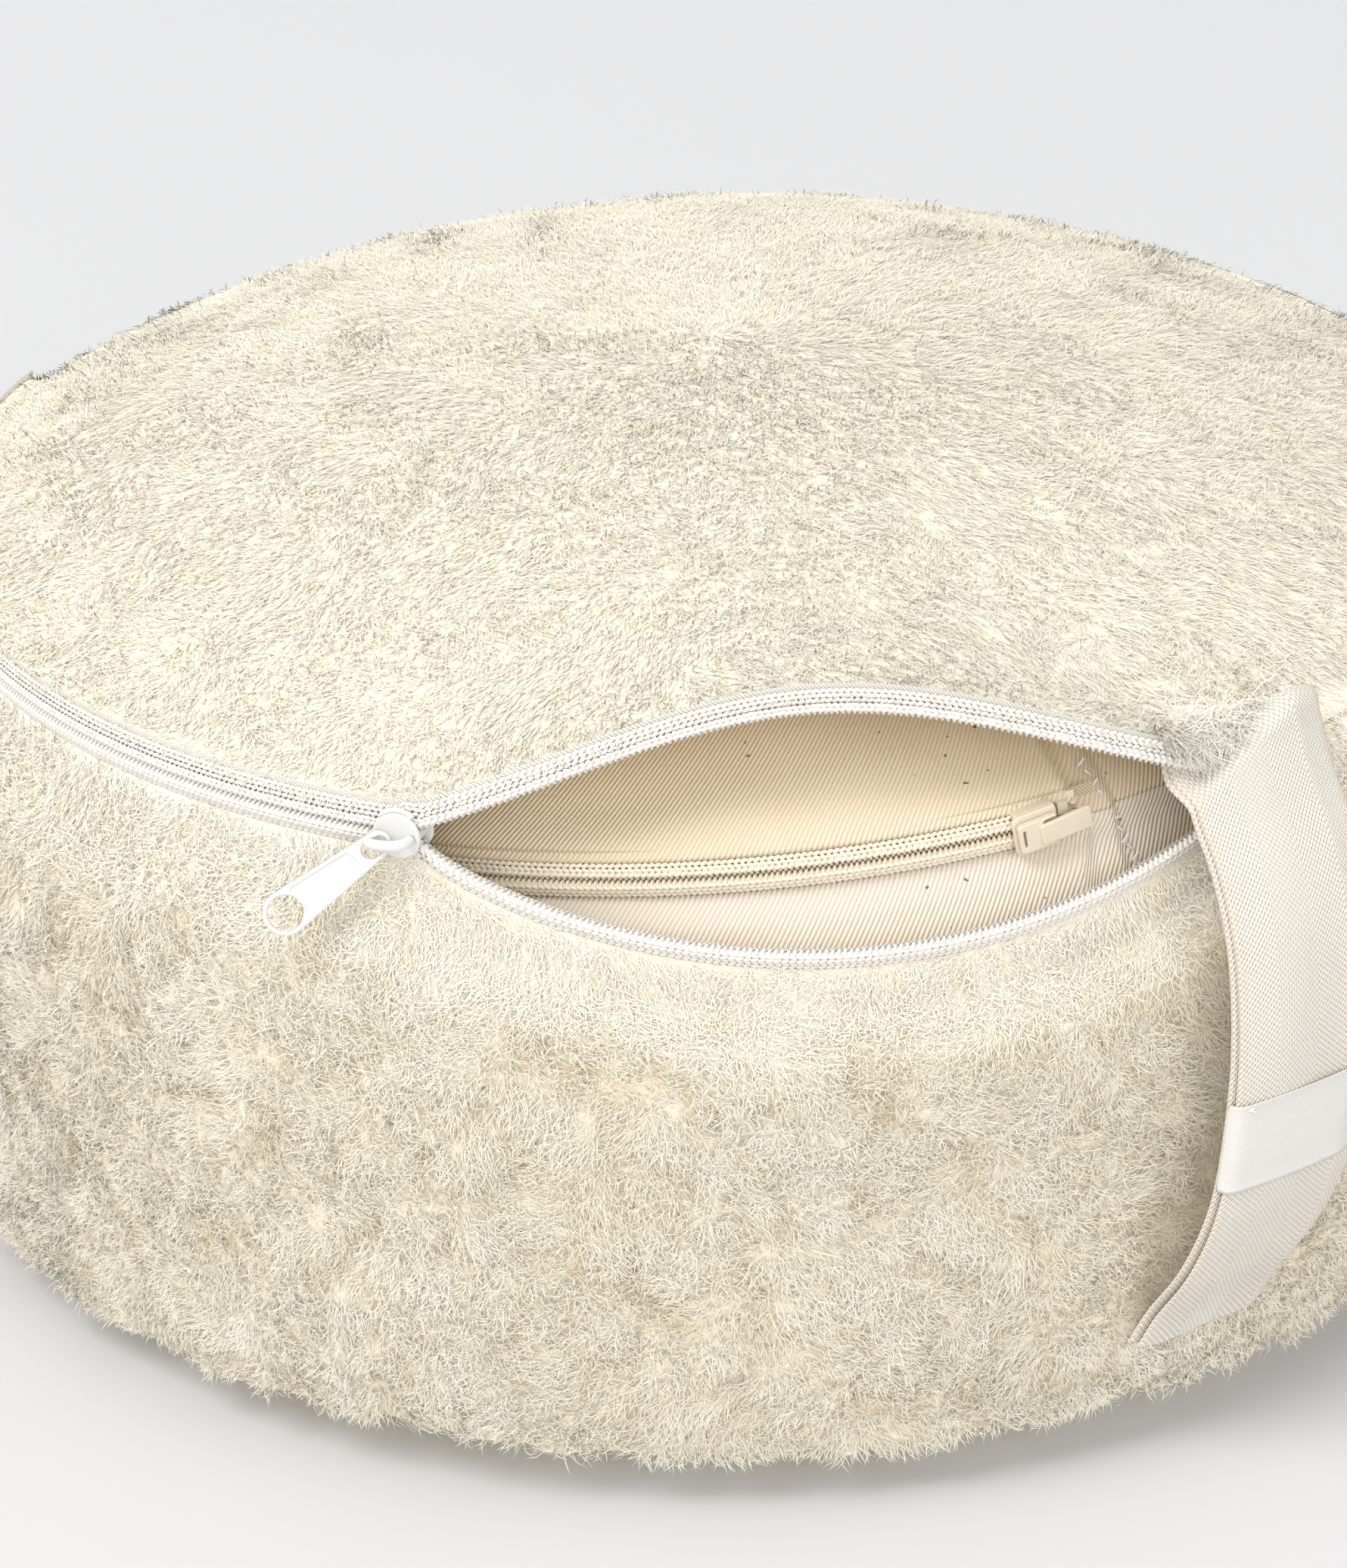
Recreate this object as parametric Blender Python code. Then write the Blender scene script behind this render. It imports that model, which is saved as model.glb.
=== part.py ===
"""Round floor cushion: a fleece zip cover over a filled twill casing, with a webbing handle.

Units are metres, +Z up, the origin is on the floor under the middle, and the open zip faces -Y.
Angles round the cushion are in degrees from -Y towards +X.
"""
import math

import bmesh
import bpy
from mathutils import Matrix, Vector

# Driving sizes of the cover
SEAM_R = 0.187          # radius of the seam that carries the cover's zip
SEAM_H = 0.153          # height of that seam above the floor
CROWN = 0.040           # rise of the top panel above the seam
BULGE = 0.017           # how far the side band swells past the seam
BELLY = 0.48            # where it is widest, as a share of the seam height
FOOT_R = SEAM_R + 0.003          # radius of the seam between the band and the bottom panel
FOOT_H = 0.012          # height of that seam
FLEECE_T = 0.007        # fleece with its pile
FLEECE_EDGE_T = 0.0025  # fleece turned in at the zip
BAND_JOIN = 104.0       # the two lengths of band are sewn together at plus and minus this angle

# The zip on the cover, and the mouth that it leaves open
ZIP_LEFT = -110.0
ZIP_RIGHT = 40.0
SLIDER_AT = -21.5
MOUTH_RIGHT = 31.0      # the upper lip comes back to the seam here
MOUTH_RIGHT_LOW = 38.0  # and the lower lip here, behind the handle
MOUTH_RISE = 0.0216     # how far the upper lip stands above the seam at the middle
MOUTH_PULL_IN = 0.0140  # how far it is drawn in there
MOUTH_DROP = 0.0205     # how far the lower lip hangs below the seam
MOUTH_SPREAD = 0.0040   # how far the lower lip stands out there

# Zips: coil, tape and slider
COIL_W = 0.0028
COIL_T = 0.0020
TAPE_W = 0.0045          # what shows of each tape between the coil and the cloth
TAPE_T = 0.0006
STOP_L = 0.0022
TACK_W = 0.0018         # bar of stitches across the tapes' ends
TACK_T = 0.0006
SLIDER_L = 0.0100
SLIDER_NARROW = 0.0043  # half height of the slider at its closed end
SLIDER_WIDE = 0.0054    # half height at its open end
PLATE_T = 0.0010
WEDGE_HALF = 0.0010     # half width of the post that parts the coils
BRIDGE_ROOM = 0.0040    # room for a pull tab between the slider and its bridge
BRIDGE_T = 0.0010
POST_X = 0.00035        # half sizes of the posts that carry the bridge
POST_Z = 0.00045
POST_LEFT = 0.0009      # how far each post stands in from its end of the slider
POST_RIGHT = 0.0022
BRIDGE_Z = 0.0007       # half height of the bridge
ZIP_SLOT = 0.0062       # half width of the slot between the fleece edges

# The inner casing and its filling
CASING_R = SEAM_R - 0.014
CASING_SEAM_H = 0.1408
CASING_TILT = 3.0       # the casing lies askew in the cover, so its zip climbs towards +X
CASING_T = 0.0010
CASING_SLOT = 0.0060
CASING_ZIP_LEFT = -76.0
CASING_SLIDER_AT = 21.0
CASING_BULGE = 0.021
CASING_FOOT_R = FOOT_R - 0.014
CASING_SLACK = 0.0022   # room between the tops of the casing and of the cover

# Pull tabs
PULL_L = 0.0310
PULL_W = 0.0092
PULL_T = 0.0015
PULL_HOLE_R = 0.0037
PULL_EYE_R = 0.0024     # half width of the eye that goes round the slider's post
PULL_RING = 0.0006      # plastic behind that eye
PULL_SETBACK = 0.0024   # the pivot lies this far behind the slider's post
EYE_BACK = 0.0007       # the eye reaches this far behind the pivot
EYE_REACH = 0.0054      # and this far ahead, so that the tab can swing past the bridge
PULL_DROOP = 38.0       # the tab hangs this far below the line of the zip
PULL_LEAN = 30.0        # and leans out this far over the swell of the band
CASING_PULL_L = 0.0105
CASING_PULL_W = 0.0050
CASING_PULL_T = 0.0011
CASING_EYE_R = 0.0014
CASING_EYE_REACH = 0.0044
CASING_SETBACK = 0.0016

# Webbing handle and its label
STRAP_AT = 33.0
STRAP_W = 0.038
STRAP_T = 0.0012
STRAP_STAND = 0.0125    # finger room behind the middle of the handle
STRAP_TOP = 0.970       # share of the seam radius that its top end reaches on the crown
STRAP_FOOT = 0.033      # height of its foot
STRAP_LEVEL = 0.65      # share of the seam height where the handle crosses its own middle line
STRAP_LEAN = 0.12       # sideways run of the handle for each unit of height
STRAP_VEER = 0.007      # and how much further its foot swings towards the mouth
LABEL_LOW = 0.0735
LABEL_HIGH = 0.0945
LABEL_T = 0.0005

GAP = 0.0003            # clearance between pieces that touch
ZIP_GAP = 0.00035       # running clearance round a zip's slider

COARSE = 6.0            # degrees between the shared angles round the back
FINE = 3.0              # and round the mouth
TAPE_TAIL = 1.6         # degrees of tape past the end of each coil

COIL_GAP = 0.00015      # half the gap between the two coils of a closed zip
TAPE_EDGE = WEDGE_HALF + ZIP_GAP
ZIP_R = SEAM_R - FLEECE_EDGE_T - GAP
CASING_ZIP_R = CASING_R - CASING_T - GAP
SLIDER_HALF_DEG = math.degrees(0.5 * SLIDER_L / ZIP_R)
MOUTH_LEFT = SLIDER_AT + SLIDER_HALF_DEG
BELLY_H = BELLY * SEAM_H
COIL_SPREAD = WEDGE_HALF + ZIP_GAP


def clear_scene():
    for item in list(bpy.data.objects):
        bpy.data.objects.remove(item, do_unlink=True)


def material(name, color, roughness, metallic=0.0):
    made = bpy.data.materials.new(name)
    made.use_nodes = True
    shader = made.node_tree.nodes["Principled BSDF"]
    shader.inputs["Base Color"].default_value = (*color, 1.0)
    shader.inputs["Roughness"].default_value = roughness
    shader.inputs["Metallic"].default_value = metallic
    return made


def add_object(name, bm, color, roughness=0.9, smooth=35.0):
    bmesh.ops.recalc_face_normals(bm, faces=bm.faces)
    mesh = bpy.data.meshes.new(name)
    bm.to_mesh(mesh)
    bm.free()
    mesh.materials.append(material(name, color, roughness))
    mesh.shade_smooth()
    mesh.set_sharp_from_angle(angle=math.radians(smooth))
    made = bpy.data.objects.new(name, mesh)
    bpy.context.scene.collection.objects.link(made)
    return made


def smoothstep(x):
    x = min(1.0, max(0.0, x))
    return x * x * (3.0 - 2.0 * x)


def polar(r, angle, z):
    turn = math.radians(angle)
    return Vector((r * math.sin(turn), -r * math.cos(turn), z))


def angle_grid(low, high):
    """Angles shared by every ring-shaped piece, so that facing facets stay parallel."""
    marks = [COARSE * i for i in range(-30, 31)]
    marks += [FINE + COARSE * i for i in range(-10, 8)]
    marks += [SLIDER_AT + SLIDER_HALF_DEG * share for share in (-0.35, 0.35, 1.0)]
    marks = sorted(mark for mark in marks if low + 0.4 < mark < high - 0.4)
    return [low] + marks + [high]


def sweep(name, angles, outline, color, place=polar, roughness=0.9):
    """One closed body whose outline, a loop of (radius, height), may change with the angle.

    The ring is closed when the angles run through a full turn; otherwise both ends are capped.
    Points at radius 0 are shared by every angle.
    """
    full = abs(angles[-1] - angles[0] - 360.0) < 1e-6
    rows = angles[:-1] if full else angles
    bm = bmesh.new()
    middle = {}
    rings = []
    for angle in rows:
        ring = []
        for index, (r, z) in enumerate(outline(angle)):
            if r < 1e-7:
                if index not in middle:
                    middle[index] = bm.verts.new(place(0.0, angle, z))
                ring.append(middle[index])
            else:
                ring.append(bm.verts.new(place(r, angle, z)))
        rings.append(ring)
    count = len(rings[0])
    pairs = list(zip(rings, rings[1:]))
    if full:
        pairs.append((rings[-1], rings[0]))
    for left, right in pairs:
        for i in range(count):
            j = (i + 1) % count
            corners = []
            for vert in (left[i], right[i], right[j], left[j]):
                if vert not in corners:
                    corners.append(vert)
            if len(corners) > 2:
                bm.faces.new(corners)
    if not full:
        bm.faces.new(rings[0])
        bm.faces.new(rings[-1])
    bmesh.ops.triangulate(bm, faces=bm.faces)
    return add_object(name, bm, color, roughness)


def prism(points, low, high):
    """A bmesh block: an outline in (x, z), closed between two depths along -Y."""
    bm = bmesh.new()
    near = [bm.verts.new((x, -high, z)) for x, z in points]
    far = [bm.verts.new((x, -low, z)) for x, z in points]
    bm.faces.new(near)
    bm.faces.new(list(reversed(far)))
    for i in range(len(points)):
        j = (i + 1) % len(points)
        bm.faces.new((near[i], far[i], far[j], near[j]))
    return bm


def rounded_outline(half_x, half_z, radius, steps=4, shift_x=0.0):
    points = []
    for corner in range(4):
        cx = (half_x - radius) * (1 if corner in (0, 3) else -1)
        cz = (half_z - radius) * (1 if corner in (0, 1) else -1)
        for step in range(steps + 1):
            turn = math.radians(90.0 * corner + 90.0 * step / steps)
            points.append((shift_x + cx + radius * math.cos(turn), cz + radius * math.sin(turn)))
    return points


def slot_outline(radius, low, high, steps=10):
    """A slot along X with round ends, or a circle where the ends coincide."""
    points = []
    for centre, start in ((high - radius, -90.0), (low + radius, 90.0)):
        for step in range(steps):
            turn = math.radians(start + 180.0 * (step + 0.5) / steps)
            points.append((centre + radius * math.cos(turn), radius * math.sin(turn)))
    return points


def combine(target, operand_bm, operation, name):
    """Boolean a helper shape into or out of a piece, and keep the helper out of the model."""
    bmesh.ops.recalc_face_normals(operand_bm, faces=operand_bm.faces)
    mesh = bpy.data.meshes.new(name)
    operand_bm.to_mesh(mesh)
    operand_bm.free()
    helper = bpy.data.objects.new(name, mesh)
    bpy.context.scene.collection.objects.link(helper)
    helper.matrix_world = target.matrix_world.copy()
    helper.hide_render = True
    helper.display_type = "WIRE"
    cut = target.modifiers.new(name, "BOOLEAN")
    cut.operation = operation
    cut.solver = "EXACT"
    cut.object = helper


# How far the mouth is open at each angle

def mouth_wave(angle, right=MOUTH_RIGHT):
    """Nothing at the corners of the mouth, 1 half way between them."""
    share = min(1.0, max(0.0, (angle - MOUTH_LEFT) / (right - MOUTH_LEFT)))
    return math.sin(math.pi * share)


def coil_offset(angle):
    """The post in the slider parts the coils by this much on each side."""
    start = SLIDER_AT - 0.35 * SLIDER_HALF_DEG
    end = SLIDER_AT + 0.35 * SLIDER_HALF_DEG
    left = smoothstep((angle - start) / (end - start))
    right = smoothstep((ZIP_RIGHT - angle) / (ZIP_RIGHT - MOUTH_RIGHT_LOW))
    return COIL_SPREAD * left * right


def upper_lip(angle):
    """Shift (radius, height) of the upper lip from the closed seam."""
    wave = mouth_wave(angle)
    return -MOUTH_PULL_IN * wave ** 1.5, MOUTH_RISE * wave


def lower_lip(angle):
    wave = mouth_wave(angle, MOUTH_RIGHT_LOW)
    return MOUTH_SPREAD * wave, -MOUTH_DROP * wave ** 0.7


# Fleece cover

def slot_runs(angle, low, high):
    """The slot opens at the last shared angle outside the tapes' ends."""
    return low - TAPE_TAIL - COARSE < angle < high + TAPE_TAIL + FINE


def cover_slot(angle):
    """Half width of the slot between the fleece edges, which part with the coils."""
    if slot_runs(angle, ZIP_LEFT, ZIP_RIGHT):
        return ZIP_SLOT + coil_offset(angle)
    return 0.5 * GAP


def crown_height(share):
    return CROWN * (1.0 - share ** 2.7) ** 0.92


def top_panel_outline(angle):
    """Outer skin from the zip up over the crown, then the inner skin back."""
    shift_r, shift_z = upper_lip(angle)
    slot = cover_slot(angle)
    edge_r = SEAM_R + shift_r
    edge_z = SEAM_H + slot + shift_z
    shares = (0.985, 0.955, 0.90, 0.82, 0.70, 0.52, 0.28, 0.0)
    outer = [(edge_r, edge_z)]
    inner = [(edge_r - FLEECE_EDGE_T, edge_z)]
    for share in shares:
        lift = max(0.0, (share - 0.45) / 0.55) ** 2
        z = SEAM_H + slot * share + crown_height(share) + lift * shift_z
        r = SEAM_R * share + lift * shift_r
        thick = FLEECE_T * smoothstep((1.0 - share) / 0.10 + 0.35)
        outer.append((r, z))
        steep = 0.75 * smoothstep((share - 0.6) / 0.4)
        inner_z = max(z - thick * (1.0 - 0.25 * steep), edge_z + 0.1 * FLEECE_EDGE_T if share > 0.98 else 0.0)
        inner.append((max(0.0, r - thick * steep), inner_z))
    return outer + list(reversed(inner))


def band_radius(z):
    """Outer radius of the side band at a height."""
    if z >= BELLY_H:
        share = min(1.0, (z - BELLY_H) / (SEAM_H - BELLY_H))
        return SEAM_R + BULGE * math.sqrt(max(0.0, 1.0 - share ** 2.4))
    share = min(1.0, (BELLY_H - z) / BELLY_H)
    return FOOT_R + (SEAM_R + BULGE - FOOT_R) * (1.0 - share ** 3) ** 0.45


def band_outline(angle):
    """Lower lip at the zip, down the swollen side to the foot seam, then back up inside."""
    shift_r, shift_z = lower_lip(angle)
    slot = cover_slot(angle)
    top = SEAM_H - slot
    outer = [(SEAM_R + shift_r, top + shift_z)]
    inner = [(SEAM_R + shift_r - FLEECE_EDGE_T, top + shift_z)]
    foot = FOOT_H + 0.5 * GAP
    for share in (0.05, 0.13, 0.27, 0.45, 0.64, 0.82, 0.94, 1.0):
        z = top + (foot - top) * share
        follow = (1.0 - smoothstep(share / 0.5))
        r = band_radius(z) + shift_r * follow
        thick = FLEECE_T * smoothstep(share / 0.16 + 0.3)
        outer.append((r, z + shift_z * follow))
        inner.append((r - thick, z + shift_z * follow))
    return outer + list(reversed(inner))


def bottom_panel_outline(_angle):
    foot = FOOT_H - 0.5 * GAP
    inner_z = FLEECE_T
    return [(FOOT_R, foot), (FOOT_R - 0.003, 0.0045), (FOOT_R - 0.009, 0.0010), (FOOT_R - 0.015, 0.0),
            (0.0, 0.0), (0.0, inner_z), (FOOT_R - 0.020, inner_z), (FOOT_R - 0.011, inner_z + 0.0022),
            (FOOT_R - FLEECE_T, foot)]


def add_cover():
    ivory = (0.86, 0.83, 0.76)
    full = angle_grid(-180.0, 180.0)
    sweep("cover_top_panel", full, top_panel_outline, ivory)
    trim = math.degrees(0.5 * GAP / SEAM_R)
    front = angle_grid(-BAND_JOIN + trim, BAND_JOIN - trim)
    sweep("cover_band_front", front, band_outline, ivory)
    rear = [BAND_JOIN + trim] + [6.0 * i for i in range(18, 43)] + [360.0 - BAND_JOIN - trim]
    sweep("cover_band_rear", rear, lambda a: band_outline(a if a <= 180.0 else a - 360.0), ivory)
    sweep("cover_bottom_panel", full, bottom_panel_outline, ivory)


# Zips

def casing_place(r, angle, z):
    """A point on the casing, whose seam lies in a plane that climbs towards +X."""
    follow = smoothstep((z + 0.075) / 0.06) * smoothstep((0.030 - z) / 0.028)
    follow *= smoothstep((95.0 - angle) / 62.0) * smoothstep((angle + 160.0) / 78.0)
    tilt = Matrix.Rotation(-math.radians(CASING_TILT * follow), 3, "Y")
    return Vector((0.0, 0.0, CASING_SEAM_H)) + tilt @ polar(r, angle, z)


def casing_tilt_matrix():
    tilt = Matrix.Rotation(-math.radians(CASING_TILT), 4, "Y")
    return Matrix.Translation((0.0, 0.0, CASING_SEAM_H)) @ tilt


def casing_zip_place(r, angle, z):
    return casing_tilt_matrix() @ polar(r, angle, z)


def bar_outline(r, z, sign, shift):
    """Section of one coil: a bar with chamfered outer corners."""
    low = z + sign * COIL_GAP
    high = low + sign * COIL_W
    cut = 0.0006
    out = r + GAP + COIL_T
    loop = [(r + GAP, low), (out - cut, low), (out, low + sign * cut), (out, high - sign * cut),
            (out - cut, high), (r + GAP, high)]
    return [(a + shift[0], b + shift[1]) for a, b in loop]


def add_cover_zip():
    tape_color = (0.83, 0.81, 0.75)
    coil_color = (0.90, 0.89, 0.86)
    for side, sign, lip in (("upper", 1.0, upper_lip), ("lower", -1.0, lower_lip)):
        def tape_outline(angle, sign=sign, lip=lip):
            shift_r, shift_z = lip(angle)
            near = SEAM_H + shift_z + sign * (TAPE_EDGE + coil_offset(angle))
            far = near + sign * TAPE_W
            outer = ZIP_R + shift_r
            return [(outer, near), (outer, far), (outer - TAPE_T, far), (outer - TAPE_T, near)]

        def coil_outline(angle, sign=sign, lip=lip):
            shift_r, shift_z = lip(angle)
            return bar_outline(ZIP_R, SEAM_H, sign, (shift_r, shift_z + sign * coil_offset(angle)))

        tape_angles = angle_grid(ZIP_LEFT - TAPE_TAIL, ZIP_RIGHT + TAPE_TAIL)
        sweep("cover_tape_" + side, tape_angles, tape_outline, tape_color, roughness=0.8)
        coil_angles = angle_grid(ZIP_LEFT, ZIP_RIGHT)
        sweep("cover_coil_" + side, coil_angles, coil_outline, coil_color, roughness=0.4)
    gap_deg = math.degrees(GAP / ZIP_R)
    stop_deg = math.degrees(STOP_L / ZIP_R)
    add_stop("cover_stop_bottom", polar, ZIP_R, SEAM_H, ZIP_LEFT - gap_deg, -stop_deg, -1.0, 1.0)
    for side, sign in (("upper", 1.0), ("lower", -1.0)):
        add_stop("cover_stop_" + side, polar, ZIP_R, SEAM_H, ZIP_RIGHT + gap_deg, stop_deg, 0.15 * sign, sign)


def add_stop(name, place, r, z, start, length, low, high):
    """A moulded block on the tape that ends a coil; low and high count in coil widths."""
    span = COIL_W + COIL_GAP
    loop = [(r + GAP, z + low * span), (r + GAP + 1.1 * COIL_T, z + low * span),
            (r + GAP + 1.1 * COIL_T, z + high * span), (r + GAP, z + high * span)]
    angles = sorted((start, start + length))
    sweep(name, angles, lambda _angle: loop, (0.88, 0.87, 0.83), place, 0.4)


def add_casing_zip():
    tape_color = (0.72, 0.62, 0.50)
    coil_color = (0.78, 0.69, 0.57)
    r = CASING_ZIP_R
    coil_end = CASING_SLIDER_AT + math.degrees(0.001 / r)
    stop_start = CASING_SLIDER_AT + math.degrees((0.5 * SLIDER_L + GAP) / r)
    stop_deg = math.degrees(STOP_L / r)
    for side, sign in (("upper", 1.0), ("lower", -1.0)):
        tape = [(r, sign * TAPE_EDGE), (r, sign * (TAPE_EDGE + TAPE_W)),
                (r - TAPE_T, sign * (TAPE_EDGE + TAPE_W)), (r - TAPE_T, sign * TAPE_EDGE)]
        tape_angles = angle_grid(CASING_ZIP_LEFT - TAPE_TAIL, stop_start + stop_deg + TAPE_TAIL)
        sweep("casing_tape_" + side, tape_angles, lambda _a, loop=tape: loop, tape_color, casing_zip_place)
        coil = bar_outline(r, 0.0, sign, (0.0, 0.0))
        coil_angles = angle_grid(CASING_ZIP_LEFT, coil_end)
        sweep("casing_coil_" + side, coil_angles, lambda _a, loop=coil: loop, coil_color, casing_zip_place)
        add_stop("casing_stop_" + side, casing_zip_place, r, 0.0, stop_start, stop_deg, 0.50 * sign, 1.45 * sign)
    add_stop("casing_stop_bottom", casing_zip_place, r, 0.0,
             CASING_ZIP_LEFT - math.degrees(GAP / r), -stop_deg, -1.0, 1.0)
    tack_at = stop_start + stop_deg + math.degrees(2.0 * GAP / r)
    half = TAPE_EDGE + TAPE_W - GAP
    loop = [(r + GAP, -half), (r + GAP + TACK_T, -half), (r + GAP + TACK_T, half), (r + GAP, half)]
    sweep("casing_bartack", [tack_at, tack_at + math.degrees(TACK_W / r)], lambda _a: loop,
          (0.86, 0.84, 0.90), casing_zip_place)


# Twill casing and its filling

def casing_slot(angle):
    return CASING_SLOT if slot_runs(angle, CASING_ZIP_LEFT, CASING_SLIDER_AT + 4.0) else 0.5 * GAP


def casing_top_z():
    return SEAM_H + CROWN - FLEECE_T - CASING_SLACK - CASING_SEAM_H


def mouth_puff(angle):
    """The casing swells into the open mouth."""
    return mouth_wave(angle) ** 2


def casing_dome(share, puff):
    return (1.0 - share ** 3.0) ** (0.84 - 0.14 * puff)


def casing_top_outline(angle):
    slot = casing_slot(angle)
    outer = []
    inner = []
    for share in (1.0, 0.975, 0.93, 0.86, 0.76, 0.62, 0.42, 0.20, 0.0):
        z = slot + (casing_top_z() - slot) * casing_dome(share, mouth_puff(angle))
        steep = smoothstep((share - 0.6) / 0.4)
        outer.append((CASING_R * share, z))
        inner.append((max(0.0, (CASING_R - CASING_T * steep) * share), z - CASING_T * (1.0 - steep)))
    return outer + list(reversed(inner))


def casing_band_radius(z):
    """Outer radius of the casing's band, z measured from the casing's seam."""
    floor = FLEECE_T + GAP + 0.0042 - CASING_SEAM_H
    share = min(1.0, max(0.0, z / floor))
    swell = CASING_BULGE * math.sin(math.pi * min(1.0, share * 1.15)) if share < 0.87 else 0.0
    base = CASING_R + (CASING_FOOT_R - CASING_R) * share ** 2
    return base + max(0.0, swell) * 0.9


def casing_band_outline(angle):
    top = -casing_slot(angle)
    floor = FLEECE_T + GAP + 0.0040 - CASING_SEAM_H
    outer = []
    inner = []
    for share in (0.0, 0.10, 0.25, 0.42, 0.60, 0.78, 0.92, 1.0):
        z = top + (floor - top) * share
        r = casing_band_radius(z)
        outer.append((r, z))
        inner.append((r - CASING_T, z))
    return outer + list(reversed(inner))


def casing_bottom_outline(_angle):
    low = FLEECE_T + GAP - CASING_SEAM_H
    high = low + CASING_T
    rim = low + 0.0040 - GAP
    return [(CASING_FOOT_R, rim), (CASING_FOOT_R - 0.0035, low + 0.0008), (CASING_FOOT_R - 0.0100, low),
            (0.0, low), (0.0, high), (CASING_FOOT_R - 0.0102, high), (CASING_FOOT_R - 0.0043, high + 0.0007),
            (CASING_FOOT_R - CASING_T, rim)]


def filling_outline(angle):
    """Solid filling, a clearance inside the casing and its zip tapes."""
    inset = CASING_T + GAP + TAPE_T + ZIP_GAP + PLATE_T + GAP
    floor = FLEECE_T + CASING_T + 2.0 * GAP - CASING_SEAM_H
    loop = []
    for share in (1.0, 0.975, 0.93, 0.86, 0.76, 0.62, 0.42, 0.0):
        z = (casing_top_z() - CASING_T - 2.0 * GAP) * casing_dome(share, mouth_puff(angle)) - 0.0004 * (share > 0.9)
        loop.append((0.0 if share == 0.0 else (CASING_R - inset) * share, z - 0.0006))
    low = [(0.0, floor), (CASING_FOOT_R - 0.0120, floor), (CASING_FOOT_R - 0.0050, floor + 0.0028)]
    for share in (0.90, 0.72, 0.52, 0.32, 0.14):
        z = floor * share
        low.append((casing_band_radius(z) - inset, z))
    low.append((CASING_R - inset, -CASING_SLOT - 0.0006))
    return loop + low


def add_casing():
    twill = (0.87, 0.80, 0.69)
    full = angle_grid(-180.0, 180.0)
    sweep("casing_top_panel", full, casing_top_outline, twill, casing_place)
    sweep("casing_band", full, casing_band_outline, twill, casing_place)
    sweep("casing_bottom_panel", full, casing_bottom_outline, twill, casing_place)
    sweep("filling_core", full, filling_outline, (0.9, 0.9, 0.88), casing_place)


# Sliders and their pull tabs, modelled along a straight zip and set on the circle

def add_slider(name, zip_r, color, place):
    """Back plate, front plate with edges, the post between them and the bridge in front."""
    half = 0.5 * SLIDER_L
    narrow, wide = SLIDER_NARROW, SLIDER_WIDE
    plan = [(-half, -narrow + 0.0012), (-half + 0.0010, -narrow), (-0.0016, -narrow), (0.0012, -wide),
            (half - 0.0010, -wide), (half, -wide + 0.0012)]
    plan = plan + [(x, -z) for x, z in reversed(plan)]
    back = zip_r - TAPE_T - ZIP_GAP - PLATE_T
    tape_front = zip_r + ZIP_GAP
    front = zip_r + GAP + COIL_T + ZIP_GAP
    body = add_object(name, prism(plan, back, back + PLATE_T), color, 0.35)
    body.matrix_world = place
    wedge = [(0.0020, 0.0), (0.0032, WEDGE_HALF), (half - 0.0004, 0.6 * WEDGE_HALF),
             (half - 0.0004, -0.6 * WEDGE_HALF), (0.0032, -WEDGE_HALF)]
    combine(body, prism(wedge, back + 0.4 * PLATE_T, front + 0.4 * PLATE_T), "UNION", name + "_post")
    combine(body, prism(plan, front, front + PLATE_T), "UNION", name + "_front")
    for side, sign in (("upper", 1.0), ("lower", -1.0)):
        edge = [(-half + 0.0010, narrow - 0.0008), (-0.0014, narrow - 0.0008), (0.0010, wide - 0.0007),
                (half - 0.0010, wide - 0.0007), (half - 0.0010, wide), (0.0012, wide), (-0.0016, narrow),
                (-half + 0.0010, narrow)]
        edge = [(x, sign * z) for x, z in edge]
        combine(body, prism(edge, tape_front, front + 0.5 * PLATE_T), "UNION", name + "_edge_" + side)
    bar_low = front + PLATE_T + BRIDGE_ROOM
    for side, x in (("left", -half + POST_LEFT), ("right", half - POST_RIGHT)):
        post = [(x - POST_X, -POST_Z), (x + POST_X, -POST_Z), (x + POST_X, POST_Z), (x - POST_X, POST_Z)]
        combine(body, prism(post, front + 0.5 * PLATE_T, bar_low + 0.5 * BRIDGE_T), "UNION", name + "_post_" + side)
    rail = rounded_outline(half - 0.0009, BRIDGE_Z, 0.8 * BRIDGE_Z, 3, -0.0004)
    combine(body, prism(rail, bar_low, bar_low + BRIDGE_T), "UNION", name + "_bridge")
    return body


def bridge_height(zip_r):
    """Radius of the middle of the room under a slider's bridge."""
    return zip_r + GAP + COIL_T + ZIP_GAP + PLATE_T + 0.5 * BRIDGE_ROOM


def slider_matrix(angle):
    return Matrix.Rotation(math.radians(angle), 4, "Z")


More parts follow.
